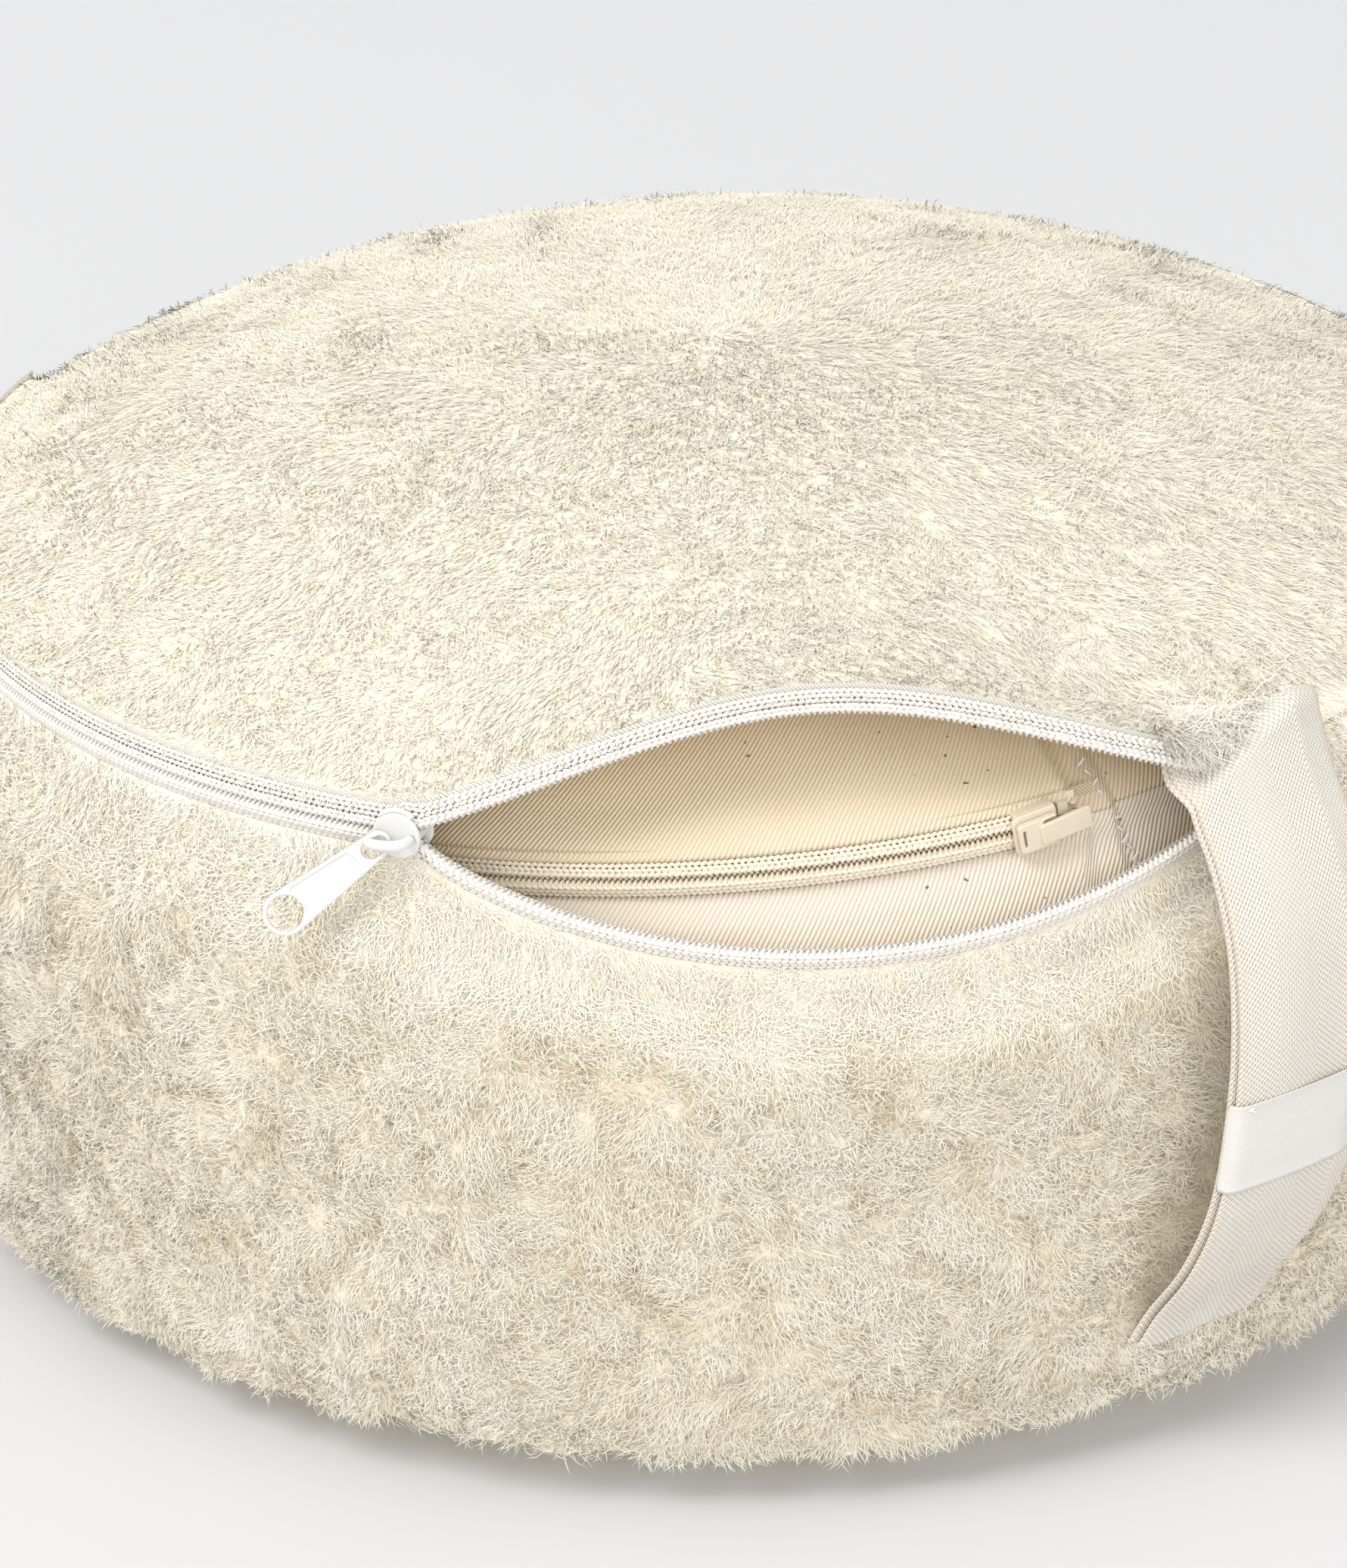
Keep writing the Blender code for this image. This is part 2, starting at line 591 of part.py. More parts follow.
def add_cover_slider():
    white = (0.90, 0.89, 0.86)
    place = Matrix.Translation((0.0, 0.0, SEAM_H)) @ slider_matrix(SLIDER_AT)
    add_slider("cover_slider", ZIP_R, white, place)
    # The tab's eye goes round the bridge's left post; its own X axis runs out along the tab.
    pivot_x = -0.5 * SLIDER_L + POST_LEFT + PULL_SETBACK
    pivot = place @ Vector((pivot_x, -bridge_height(ZIP_R), 0.0))
    swing = Matrix.Rotation(math.radians(PULL_DROOP), 4, "Y").inverted()
    turn = Matrix.Rotation(math.pi, 4, "Y")
    lean = Matrix.Rotation(-math.radians(PULL_LEAN), 4, "Z")
    frame = Matrix.Translation(pivot) @ slider_matrix(SLIDER_AT) @ swing @ turn @ lean
    half = 0.5 * PULL_L
    thick = 0.5 * PULL_T
    outline = []
    tail = EYE_BACK + PULL_RING
    reach = PULL_L - tail
    for x, width in ((-tail, 0.0021), (-0.5 * tail, 0.0032), (0.0040, 0.0037), (0.50 * PULL_L, 0.0042)):
        outline.append((x, width))
    round_r = 0.5 * PULL_W
    centre = reach - round_r
    for step in range(13):
        spread = math.radians(90.0 - 15.0 * step)
        outline.append((centre + round_r * math.cos(spread), round_r * math.sin(spread)))
    outline += [(x, -z) for x, z in reversed(outline[:4])]
    tab = add_object("cover_pull_tab", prism(outline, -thick, thick), white, 0.35)
    tab.matrix_world = frame
    hole = slot_outline(PULL_HOLE_R, centre - PULL_HOLE_R, centre + PULL_HOLE_R, 12)
    combine(tab, prism(hole, -half, half), "DIFFERENCE", "pull_hole_cut")
    eye = slot_outline(PULL_EYE_R, -EYE_BACK, EYE_REACH, 8)
    combine(tab, prism(eye, -half, half), "DIFFERENCE", "pull_eye_cut")


def add_casing_slider():
    beige = (0.80, 0.71, 0.60)
    place = casing_tilt_matrix() @ slider_matrix(CASING_SLIDER_AT)
    add_slider("casing_slider", CASING_ZIP_R, beige, place)
    pivot = place @ Vector((0.5 * SLIDER_L - POST_RIGHT - CASING_SETBACK, -bridge_height(CASING_ZIP_R), 0.0))
    frame = Matrix.Translation(pivot) @ place.to_3x3().to_4x4()
    thick = 0.5 * CASING_PULL_T
    half_x = 0.5 * CASING_PULL_L
    outline = rounded_outline(half_x, 0.5 * CASING_PULL_W, 0.0008, 3, half_x - EYE_BACK - PULL_RING)
    tab = add_object("casing_pull_tab", prism(outline, -thick, thick), beige, 0.4)
    tab.matrix_world = frame
    eye = slot_outline(CASING_EYE_R, -EYE_BACK, CASING_EYE_REACH, 8)
    combine(tab, prism(eye, -half_x, half_x), "DIFFERENCE", "casing_pull_eye_cut")


# Webbing handle

def strap_path():
    """(radius, height) along the inner face of the handle, from its top seam to its foot."""
    swell = SEAM_R + BULGE
    lift = STRAP_STAND
    clear = 6.0 * GAP
    on_crown = [(SEAM_R * share + clear, SEAM_H + ZIP_SLOT * share + crown_height(share) + clear)
                for share in (STRAP_TOP, 0.5 * (1.0 + STRAP_TOP))]
    off_seam = [(SEAM_R + clear, SEAM_H + 0.0045), (SEAM_R + 0.46 * BULGE, SEAM_H - 0.0045),
                (swell - 0.0010, SEAM_H - 0.014), (swell + 0.52 * lift, SEAM_H - 0.028),
                (swell + 0.90 * lift, SEAM_H - 0.047)]
    middle = [(swell + lift, BELLY_H + 0.014), (swell + 0.95 * lift, BELLY_H - 0.004),
              (swell + 0.62 * lift, BELLY_H - 0.020)]
    foot = [(band_radius(STRAP_FOOT + 0.008) + 0.0022, STRAP_FOOT + 0.008),
            (band_radius(STRAP_FOOT) + GAP, STRAP_FOOT)]
    return on_crown + off_seam + middle + foot


def smooth_path(points, parts=3):
    """Catmull-Rom points through the given ones."""
    vectors = [Vector(point) for point in points]
    ends = [2 * vectors[0] - vectors[1]] + vectors + [2 * vectors[-1] - vectors[-2]]
    out = []
    for i in range(len(vectors) - 1):
        a, b, c, d = ends[i:i + 4]
        for step in range(parts):
            t = step / parts
            out.append(0.5 * ((2 * b) + (c - a) * t + (2 * a - 5 * b + 4 * c - d) * t * t
                              + (3 * b - a - 3 * c + d) * t ** 3))
    out.append(vectors[-1])
    return out


def offset_path(path, distance):
    out = []
    for i, point in enumerate(path):
        ahead = path[min(i + 1, len(path) - 1)] - path[max(i - 1, 0)]
        normal = Vector((-ahead.y, ahead.x)).normalized()
        if normal.x < 0:
            normal = -normal
        out.append(point + normal * distance)
    return out


def strap_shift(z):
    """The handle runs askew: its middle lies this far towards +X' of the plane it is built in."""
    level = STRAP_LEVEL * SEAM_H
    below = max(0.0, (level - z) / (level - STRAP_FOOT))
    return STRAP_LEAN * (z - level) - STRAP_VEER * below ** 3


def ribbon_mesh(near, far, width):
    """A block between two paths in (radius, height), as wide as the strap."""
    loop = [(p.x, p.y) for p in far] + [(p.x, p.y) for p in reversed(near)]
    bm = bmesh.new()
    sides = []
    for x in (-0.5 * width, 0.5 * width):
        sides.append([bm.verts.new((x + strap_shift(z), -r, z)) for r, z in loop])
    count = len(loop)
    for i in range(count):
        j = (i + 1) % count
        bm.faces.new((sides[0][i], sides[0][j], sides[1][j], sides[1][i]))
    for side in sides:
        for i in range(len(far) - 1):
            bm.faces.new((side[i], side[i + 1], side[count - 2 - i], side[count - 1 - i]))
    bmesh.ops.triangulate(bm, faces=bm.faces)
    return bm


def ribbon(name, path, low, high, width, color):
    """A flat tape along the path, between two offsets from it."""
    made = add_object(name, ribbon_mesh(offset_path(path, low), offset_path(path, high), width), color, 0.85)
    made.matrix_world = slider_matrix(STRAP_AT)
    return made


def add_handle():
    cream = (0.88, 0.84, 0.76)
    path = smooth_path(strap_path())
    ribbon("handle_tape_inner", path, 0.0, STRAP_T, STRAP_W, cream)
    ribbon("handle_tape_outer", path, STRAP_T + GAP, 2.0 * STRAP_T + GAP, STRAP_W, cream)
    stretch = [point for point in path if LABEL_LOW <= point.y <= LABEL_HIGH]
    label = ribbon("handle_label", stretch, -GAP - LABEL_T, 2.0 * STRAP_T + 2.0 * GAP + LABEL_T,
                   STRAP_W + 2.0 * (GAP + LABEL_T), (0.88, 0.87, 0.84))
    inside = [i for i, p in enumerate(path) if LABEL_LOW <= p.y <= LABEL_HIGH]
    longer = path[inside[0] - 1:inside[-1] + 2]
    bm = ribbon_mesh(offset_path(longer, -GAP), offset_path(longer, 2.0 * STRAP_T + 2.0 * GAP), STRAP_W + 2.0 * GAP)
    combine(label, bm, "DIFFERENCE", "label_sleeve_cut")


def main():
    clear_scene()
    add_cover()
    add_cover_zip()
    add_casing()
    add_casing_zip()
    add_cover_slider()
    add_casing_slider()
    add_handle()


main()
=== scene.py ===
"""Looks of a round floor cushion: a fleece zip cover, part open over its twill casing, and a handle."""
import math

import bpy
import numpy as np
from mathutils import Matrix, Vector


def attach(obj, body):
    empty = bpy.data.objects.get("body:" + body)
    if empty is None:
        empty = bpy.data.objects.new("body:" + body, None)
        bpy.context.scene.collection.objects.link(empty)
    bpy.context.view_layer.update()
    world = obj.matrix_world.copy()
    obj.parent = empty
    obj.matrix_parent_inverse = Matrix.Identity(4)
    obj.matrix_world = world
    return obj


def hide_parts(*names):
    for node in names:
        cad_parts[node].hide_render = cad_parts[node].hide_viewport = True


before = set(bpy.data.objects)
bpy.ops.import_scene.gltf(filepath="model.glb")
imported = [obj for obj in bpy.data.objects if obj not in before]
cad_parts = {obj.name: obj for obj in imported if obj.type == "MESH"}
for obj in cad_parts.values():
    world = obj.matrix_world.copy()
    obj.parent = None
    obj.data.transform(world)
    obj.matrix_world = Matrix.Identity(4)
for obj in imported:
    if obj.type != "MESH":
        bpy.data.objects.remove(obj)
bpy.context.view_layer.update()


# ---------------------------------------------------------------------------------------------
# Fleece cover: top panel, side band in two lengths and a bottom panel, sewn from wool-like pile
# cloth. The pile lies short and smooth on the crown and beside the zip, and stands in soft
# tufts down the side. The knitted ground is one sheet for each panel; the pile is on top.

SEAM_R = 0.187
SEAM_H = 0.153
CROWN = 0.040
BULGE = 0.017
BELLY_H = 0.48 * SEAM_H
FOOT_R = 0.190
FOOT_H = 0.012
BAND_JOIN = 104.0
ZIP_LEFT, ZIP_RIGHT = -110.0, 40.0
SLIDER_AT = -21.5
SLIDER_HALF_DEG = 1.555
MOUTH_LEFT = SLIDER_AT + SLIDER_HALF_DEG
MOUTH_RIGHT, MOUTH_RIGHT_LOW = 31.0, 38.0
UPPER_BACK, UPPER_RISE = 0.0140, 0.0216     # how far the upper lip of the mouth draws back and up
LOWER_OUT, LOWER_DROP = 0.0040, 0.0205      # how far the lower lip hangs out and down
COIL_OPEN = 0.00135     # each coil stands this far off the middle where the zip is open
EDGE_GAP = 0.0003       # half the gap of the seam where there is no zip
EDGE_SLOT = 0.0042      # half the slot between the fleece edges along the zip
ROLLED_R = 0.1856       # radius to the rolled edge of the side band
TURNED_IN = 0.0022      # depth of the cut edge turned in behind the zip
GROUND_IN = 0.0030      # the knitted ground lies this far inside the tips of the pile
STRAND_W = 0.00025
TUFT, CURL = 0.0125, 0.0060     # size of the tufts down the side, and of the curls within them


def smooth(x):
    x = np.clip(x, 0.0, 1.0)
    return x * x * (3.0 - 2.0 * x)


def mouth_wave(angle, right=MOUTH_RIGHT):
    """Nothing at the corners of the open zip, 1 half way between them."""
    share = np.clip((angle - MOUTH_LEFT) / (right - MOUTH_LEFT), 0.0, 1.0)
    return np.maximum(np.sin(np.pi * share), 0.0)


def lip_shift(angle, upper):
    """How far a lip of the open zip stands from the closed seam: (outwards, up)."""
    if upper:
        wave = mouth_wave(angle)
        return -UPPER_BACK * wave ** 1.5, UPPER_RISE * wave
    wave = mouth_wave(angle, MOUTH_RIGHT_LOW)
    return LOWER_OUT * wave, -LOWER_DROP * wave ** 0.7


def coil_part(angle):
    """How far each coil stands off the middle of the zip, opened by the slider's post."""
    left = smooth((angle - SLIDER_AT + 0.35 * SLIDER_HALF_DEG) / (0.7 * SLIDER_HALF_DEG))
    right = smooth((ZIP_RIGHT - angle) / (ZIP_RIGHT - MOUTH_RIGHT_LOW))
    return COIL_OPEN * left * right


def cover_slot(angle):
    """Half width of the slot between the fleece edges."""
    inside = smooth((angle - ZIP_LEFT + 4.0) / 4.0) * smooth((ZIP_RIGHT + 1.5 - angle) / 3.0)
    return EDGE_GAP + inside * (EDGE_SLOT + coil_part(angle))


def around(r, angle, z):
    """Points at a radius and height; the angle is in degrees from the front, to the right."""
    turn = np.radians(angle)
    return np.stack([r * np.sin(turn), -r * np.cos(turn), z + 0.0 * turn], -1)


def crown_height(share):
    return CROWN * np.maximum(0.0, 1.0 - share ** 2.7) ** 0.92


def top_place(share, angle):
    """A point of the top panel: share 0 is the middle of the crown, 1 the edge at the zip."""
    out, up = lip_shift(angle, True)
    softer = mouth_wave(angle) ** (1.0 - smooth((share - 0.6) / 0.4))
    up = up * softer
    lift = np.clip((share - 0.45) / 0.55, 0.0, 1.0) ** 2
    slot = cover_slot(angle)
    tucked = 0.0017 * smooth((share - 0.975) / 0.025)
    height = SEAM_H + slot * share ** 8 + crown_height(share) + lift * up
    return around(SEAM_R * share - tucked + lift * out, angle, height)


def band_radius(z):
    above = np.clip((z - BELLY_H) / (SEAM_H - BELLY_H), 0.0, 1.0)
    below = np.clip((BELLY_H - z) / BELLY_H, 0.0, 1.0)
    swell = SEAM_R + BULGE * np.sqrt(np.maximum(0.0, 1.0 - above ** 2.4))
    tuck = FOOT_R + (SEAM_R + BULGE - FOOT_R) * np.maximum(0.0, 1.0 - below ** 3) ** 0.45
    return np.where(z >= BELLY_H, swell, tuck)


def band_place(share, angle):
    """A point of the side band: share 0 is the lower lip of the zip, 1 the seam at the foot."""
    out, up = lip_shift(angle, False)
    top = SEAM_H - cover_slot(angle)
    z = top + (FOOT_H - top) * share
    follow = 1.0 - smooth(share / 0.5)
    rolled = (1.0 - smooth(share / 0.15)) * (band_radius(top) - ROLLED_R)
    return around(band_radius(z) - rolled + out * follow, angle, z + up * follow)


def scramble(cells, seed):
    """Three even random numbers for each whole-numbered cell."""
    h = cells[..., 0] * 73856093 ^ cells[..., 1] * 19349663 ^ cells[..., 2] * 83492791 ^ seed * 2654435
    out = []
    for step in (1, 2, 3):
        h = (h ^ (h >> 15)) * 2246822519 & 0xFFFFFFFF
        h = (h ^ (h >> 13)) * 3266489917 + step * 668265263 & 0xFFFFFFFF
        out.append((h >> 8 & 0xFFFF) / 65535.0)
    return np.stack(out, -1)


def drift(points, size, seed):
    """Smooth noise from 0 to 1 that changes over about this size."""
    q = points / size
    low = np.floor(q).astype(np.int64)
    part = smooth(q - low)
    total = 0.0
    for corner in np.ndindex(2, 2, 2):
        weight = np.prod(np.where(corner, part, 1.0 - part), -1)
        total = total + weight * scramble(low + np.array(corner), seed)[..., 0]
    return total


def tufts(points, size, seed):
    """For each point: how far it is from its tuft's middle, that middle, and a number of the tuft's own."""
    q = points / size
    low = np.floor(q).astype(np.int64)
    best = np.full(q.shape[:-1], 9.0)
    middle = np.zeros_like(q)
    own = np.zeros(q.shape[:-1])
    for step in np.ndindex(3, 3, 3):
        cell = low + np.array(step) - 1
        chance = scramble(cell, seed)
        centre = cell + 0.12 + 0.76 * chance
        away = np.sqrt(((q - centre) ** 2).sum(-1))
        near = away < best
        best = np.where(near, away, best)
        middle = np.where(near[..., None], centre, middle)
        own = np.where(near, (chance[..., 0] * 7.0) % 1.0, own)
    return best, middle * size, own


def grid_normals(place):
    """Outward normals of a grid that goes round the cushion."""
    along = np.gradient(place, axis=0)
    across = np.gradient(place, axis=1)
    normal = np.cross(across, along)
    if (normal[len(place) // 2] * (place[len(place) // 2] - [0.0, 0.0, 0.08])).sum() < 0.0:
        normal = -normal
    return normal / np.maximum(np.linalg.norm(normal, axis=-1, keepdims=True), 1e-12)


def add_mesh(name, points, faces, body="cushion"):
    """A mesh from arrays: faces is one (n, 3 or 4) array, or a list of them."""
    groups = faces if isinstance(faces, list) else [faces]
    mesh = bpy.data.meshes.new(name)
    corners = np.concatenate([group.ravel() for group in groups])
    sizes = np.concatenate([np.full(len(group), group.shape[1]) for group in groups])
    mesh.vertices.add(len(points))
    mesh.vertices.foreach_set("co", np.ascontiguousarray(points, np.float32).ravel())
    mesh.loops.add(len(corners))
    mesh.loops.foreach_set("vertex_index", corners.astype(np.int32))
    mesh.polygons.add(len(sizes))
    mesh.polygons.foreach_set("loop_start", (np.cumsum(sizes) - sizes).astype(np.int32))
    mesh.update(calc_edges=True)
    mesh.validate()
    mesh.shade_smooth()
    made = bpy.data.objects.new(name, mesh)
    bpy.context.scene.collection.objects.link(made)
    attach(made, body)
    return made


def grid_faces(rows, cols, closed=False):
    i, j = np.meshgrid(np.arange(rows - 1), np.arange(cols if closed else cols - 1), indexing="ij")
    k = (j + 1) % cols
    return np.stack([i * cols + j, i * cols + k, (i + 1) * cols + k, (i + 1) * cols + j], -1).reshape(-1, 4)


def note(made, name, values):
    """Keep a number, or three, for each point of a mesh, for its material to read."""
    values = np.ascontiguousarray(values, np.float32)
    kind, key = ("FLOAT_VECTOR", "vector") if values.ndim == 2 else ("FLOAT", "value")
    made.data.attributes.new(name, kind, "POINT").data.foreach_set(key, values.ravel())


class Tone:
    """A shader socket that takes part in sums; each sign adds a Math node."""

    def __init__(self, finish, socket):
        self.finish = finish
        self.socket = socket

    def maths(self, operation, *values):
        return self.finish.node("ShaderNodeMath", {"operation": operation}, dict(enumerate(values)))

    def __add__(self, other): return self.maths("ADD", self, other)
    def __radd__(self, other): return self.maths("ADD", other, self)
    def __sub__(self, other): return self.maths("SUBTRACT", self, other)
    def __rsub__(self, other): return self.maths("SUBTRACT", other, self)
    def __mul__(self, other): return self.maths("MULTIPLY", self, other)
    def __rmul__(self, other): return self.maths("MULTIPLY", other, self)
    def sine(self): return self.maths("SINE", self)
    def size(self): return self.maths("ABSOLUTE", self)
    def over(self, other): return self.maths("GREATER_THAN", self, other)


class Finish:
    """One material on a Principled shader."""

    def __init__(self, name, **sockets):
        self.material = bpy.data.materials.new(name)
        self.material.use_nodes = True
        self.tree = self.material.node_tree
        self.shader = self.tree.nodes["Principled BSDF"]
        self.set(**sockets)

    def join(self, socket, value):
        if isinstance(value, Tone):
            self.tree.links.new(value.socket, socket)
        elif hasattr(socket, "default_value"):
            if isinstance(value, tuple) and len(value) == 3 and socket.type == "RGBA":
                value = (*value, 1.0)
            socket.default_value = value

    def set(self, **sockets):
        for name, value in sockets.items():
            self.join(self.shader.inputs[name.replace("_", " ")], value)

    def node(self, kind, settings=None, values=None, out=0):
        made = self.tree.nodes.new(kind)
        for name, value in (settings or {}).items():
            setattr(made, name, value)
        for key, value in (values or {}).items():
            self.join(made.inputs[key], value)
        return Tone(self, made.outputs[out])

    def read(self, name, out="Fac"):
        return self.node("ShaderNodeAttribute", {"attribute_name": name}, out=out)

    def noise(self, scale, detail=3.0):
        where = self.node("ShaderNodeTexCoord", out="Object")
        return self.node("ShaderNodeTexNoise", None, {"Vector": where, "Scale": scale, "Detail": detail})

    def mix(self, share, first, second):
        return self.node("ShaderNodeMix", {"data_type": "RGBA"}, {0: share, 6: first, 7: second}, out=2)

    def relief(self, height, distance):
        self.set(Normal=self.node("ShaderNodeBump", None, {"Height": height, "Distance": distance}))

    def on(self, *pieces):
        for piece in pieces:
            piece.data.materials.clear()
            piece.data.materials.append(self.material)


def pile_ground(place, clumpy, seed, edge):
    """Push the knitted ground out into soft tufts. Returns places, normals, tuft height and a value for
    painted shade: low in the valleys between the tufts, with some random tone.
    """
    normal = grid_normals(place)
    flat = place.reshape(-1, 3)
    warp = np.stack([drift(flat, 0.011, seed + k) for k in range(3)], -1) - 0.5
    away, _, own = tufts(flat + warp * 0.008, TUFT, seed + 5)
    away2, _, _ = tufts(flat + warp * 0.004, CURL, seed + 6)
    broad = drift(flat, 0.030, seed + 7)
    dome = np.clip(1.0 - away ** 2, 0.0, 1.0)
    dome2 = np.clip(1.0 - away2 ** 2, 0.0, 1.0)
    shape = (place.shape[0], place.shape[1])
    height = (0.62 * dome + 0.38 * dome2).reshape(shape)
    broad = broad.reshape(shape)
    tufted = 0.0074 * (height - 0.6) + 0.0034 * (broad - 0.5)
    push = clumpy * tufted + (1.0 - clumpy) * 0.0012 * (broad - 0.5)
    # Painted shade: the value falls in the valleys between tufts, where the pile lies in shade; broad and
    # own add random tone.
    shade_and_tone = np.clip(1.25 * height + 0.45 * broad + 0.12 * own.reshape(shape) - 0.50, 0.0, 1.0)
    out = place + normal * ((push - GROUND_IN) * edge - 0.0004)[..., None]
    return out, normal, height, shade_and_tone


def cell_spots(place, count, rng):
    """Even random spots over a grid: the cell and the place inside it."""
    a, b, c, d = place[:-1, :-1], place[:-1, 1:], place[1:, 1:], place[1:, :-1]
    area = np.linalg.norm(np.cross(c - a, d - b), axis=-1).ravel()
    pick = np.searchsorted(np.cumsum(area), rng.random(count) * area.sum())
    pick = np.minimum(pick, len(area) - 1)
    return pick // (place.shape[1] - 1), pick % (place.shape[1] - 1), rng.random(count), rng.random(count)


def at_spots(field, spots):
    i, j, s, t = spots
    if field.ndim == 3:
        s, t = s[:, None], t[:, None]
    return ((field[i, j] * (1 - s) + field[i + 1, j] * s) * (1 - t)
            + (field[i, j + 1] * (1 - s) + field[i + 1, j + 1] * s) * t)


def unit(v):
    return v / np.maximum(np.linalg.norm(v, axis=-1, keepdims=True), 1e-12)


def along_cloth(v, normal):
    """The part of a direction that lies in the cloth."""
    return v - normal * (v * normal).sum(-1, keepdims=True)


def grow_pile(name, root, normal, lay, length, clumpy, shade_and_tone, seed, pieces, finish):
    """Curved strands, each a narrow tapering blade, that lean along lay and gather in tufts."""
    rng = np.random.default_rng(seed)
    count = len(root)
    _, middle, own = tufts(root, CURL, seed + 3)
    gather = along_cloth(middle - root, normal)
    reach = 0.0045
    nearest = np.minimum(1.0, reach / np.maximum(np.linalg.norm(gather, axis=-1), 1e-9))
    gather = gather / reach * nearest[:, None]
    stray = along_cloth(rng.normal(size=(count, 3)), normal)
    swirl = np.stack([drift(root, 0.014, seed + 20 + k) for k in range(3)], -1) - 0.5
    swirl = along_cloth(swirl, normal)
    c = clumpy[:, None]
    side = lay * (0.95 - 0.55 * c) + swirl * (0.9 + 1.6 * c) + gather * 0.45 * c + stray * (0.22 + 0.33 * c)
    rise = normal * (0.07 + 0.42 * c + 0.12 * rng.random((count, 1)))
    first = unit(side * 0.75 + rise * 1.25)
    bend = unit(np.cross(normal, first)) * rng.normal(size=(count, 1)) * (0.22 + 0.35 * c)
    second = unit(side * 1.25 + rise * 0.55 + bend)
    size = (length * (0.72 + 0.56 * rng.random(count)))[:, None]
    knee = root + first * size * 0.5
    tip = knee + second * size * 0.5
    flat1 = unit(np.cross(first, normal))
    flat2 = unit(np.cross(second, normal))
    half = 0.5 * STRAND_W * (0.75 + 0.5 * rng.random((count, 1)))
    points = np.stack([root - flat1 * half, root + flat1 * half, knee - flat2 * half * 0.85,
                       knee + flat2 * half * 0.85, tip], 1)
    facing = unit(normal * 0.92 + np.cross(flat1, first) * 0.08)
    made = []
    for part in range(pieces):
        which = slice(part * count // pieces, (part + 1) * count // pieces)
        p = points[which]
        n = len(p)
        base = np.arange(n)[:, None] * 5
        blade = add_mesh(f"{name}_{part + 1}", p.reshape(-1, 3),
                         [base + np.array([[0, 1, 3, 2]]), base + np.array([[2, 3, 4]])])
        shade = np.repeat(facing[which], 5, 0)
        blade.data.normals_split_custom_set_from_vertices(shade)
        note(blade, "up", shade)
        note(blade, "shade_and_tone", np.repeat(shade_and_tone[which] * 0.8 + own[which] * 0.2, 5))
        note(blade, "tip", np.tile([0.0, 0.0, 0.55, 0.55, 1.0], n))
        across_uv = np.repeat(np.clip(shade_and_tone[which], 0.01, 0.98), 5)
        uv = np.stack([across_uv, np.tile([0.02, 0.02, 0.5, 0.5, 0.98], n)], -1)
        uv[0::5, 0] -= 0.002
        uv[2::5, 0] -= 0.002
        layer = blade.data.uv_layers.new(name="OFBake")
        index = np.zeros(len(blade.data.loops), np.int32)
        blade.data.loops.foreach_get("vertex_index", index)
        layer.data.foreach_set("uv", uv[index].astype(np.float32).ravel())
        finish.on(blade)
        made.append(blade)
    return made


# The faint cream glow stands for light scattered inside the pile.
pile = Finish("wool_pile", Roughness=0.85, Specular_IOR_Level=0.18, Emission_Color=(1.0, 0.90, 0.68),
              Emission_Strength=0.06)
# Painted shade: the strands are darker and yellower at their roots and in the valleys between tufts, where
# the pile shades itself.
pile.set(Base_Color=pile.mix(pile.read("tip") * 0.35 + pile.read("shade_and_tone") * 0.75,
                             (0.835, 0.720, 0.505), (0.985, 0.955, 0.860)), Normal=pile.read("up", "Vector"))
pile.material.cycles.use_bump_map_correction = False
# The ground also glows faintly cream, painted light for light scattered in the pile, and its colour is
# painted shade, darker in the valleys between tufts.
ground_cloth = Finish("fleece_ground", Roughness=0.95, Specular_IOR_Level=0.1,
                      Emission_Color=(1.0, 0.90, 0.68), Emission_Strength=0.05)
ground_cloth.set(Base_Color=ground_cloth.mix(ground_cloth.read("shade_and_tone"),
                                             (0.835, 0.720, 0.500), (0.970, 0.930, 0.825)))
ground_cloth.relief(ground_cloth.noise(900.0, 4.0), 0.0006)


quick_pile = 1.0

# Top panel, a round that crowns over the filling
top_angles = np.linspace(-180.0, 180.0, 721)
top_shares = 1.0 - np.linspace(0.0, 1.0, 108) ** 1.12 * 0.999
share, angle = np.meshgrid(top_shares, top_angles, indexing="ij")
place = top_place(share, angle)
clumpy = np.full(share.shape, 0.06)
place, normal, height, shade_and_tone = pile_ground(place, clumpy, 11, smooth((1.0 - share) / 0.045))
tuck = top_place(np.ones(721), top_angles)
tuck_in = tuck + around(np.full(721, -TURNED_IN), top_angles, np.full(721, 0.0002))
full = np.concatenate([tuck_in[None], place])
cover_top = add_mesh("cover_top_cloth", full[:, :-1].reshape(-1, 3), grid_faces(len(full), 720, True))
note(cover_top, "shade_and_tone", np.concatenate([shade_and_tone[:1], shade_and_tone])[:, :-1].ravel() * 0.15 + 0.52)
ground_cloth.on(cover_top)
rng = np.random.default_rng(3)
spots = cell_spots(place, int(150000 * quick_pile), rng)
root, up = at_spots(place, spots), at_spots(normal, spots)
lay = along_cloth(unit(root * [1.0, 1.0, 0.0]), up)
near_zip = 1.0 - at_spots(smooth((1.0 - share) / 0.05), spots)
top_pile = grow_pile("cover_top_pile", root, up, lay * 0.5, 0.0036 - 0.0008 * near_zip,
                     at_spots(clumpy, spots), at_spots(shade_and_tone, spots) * 0.15 + 0.52, 21, 3, pile)
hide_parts("cover_top_panel")

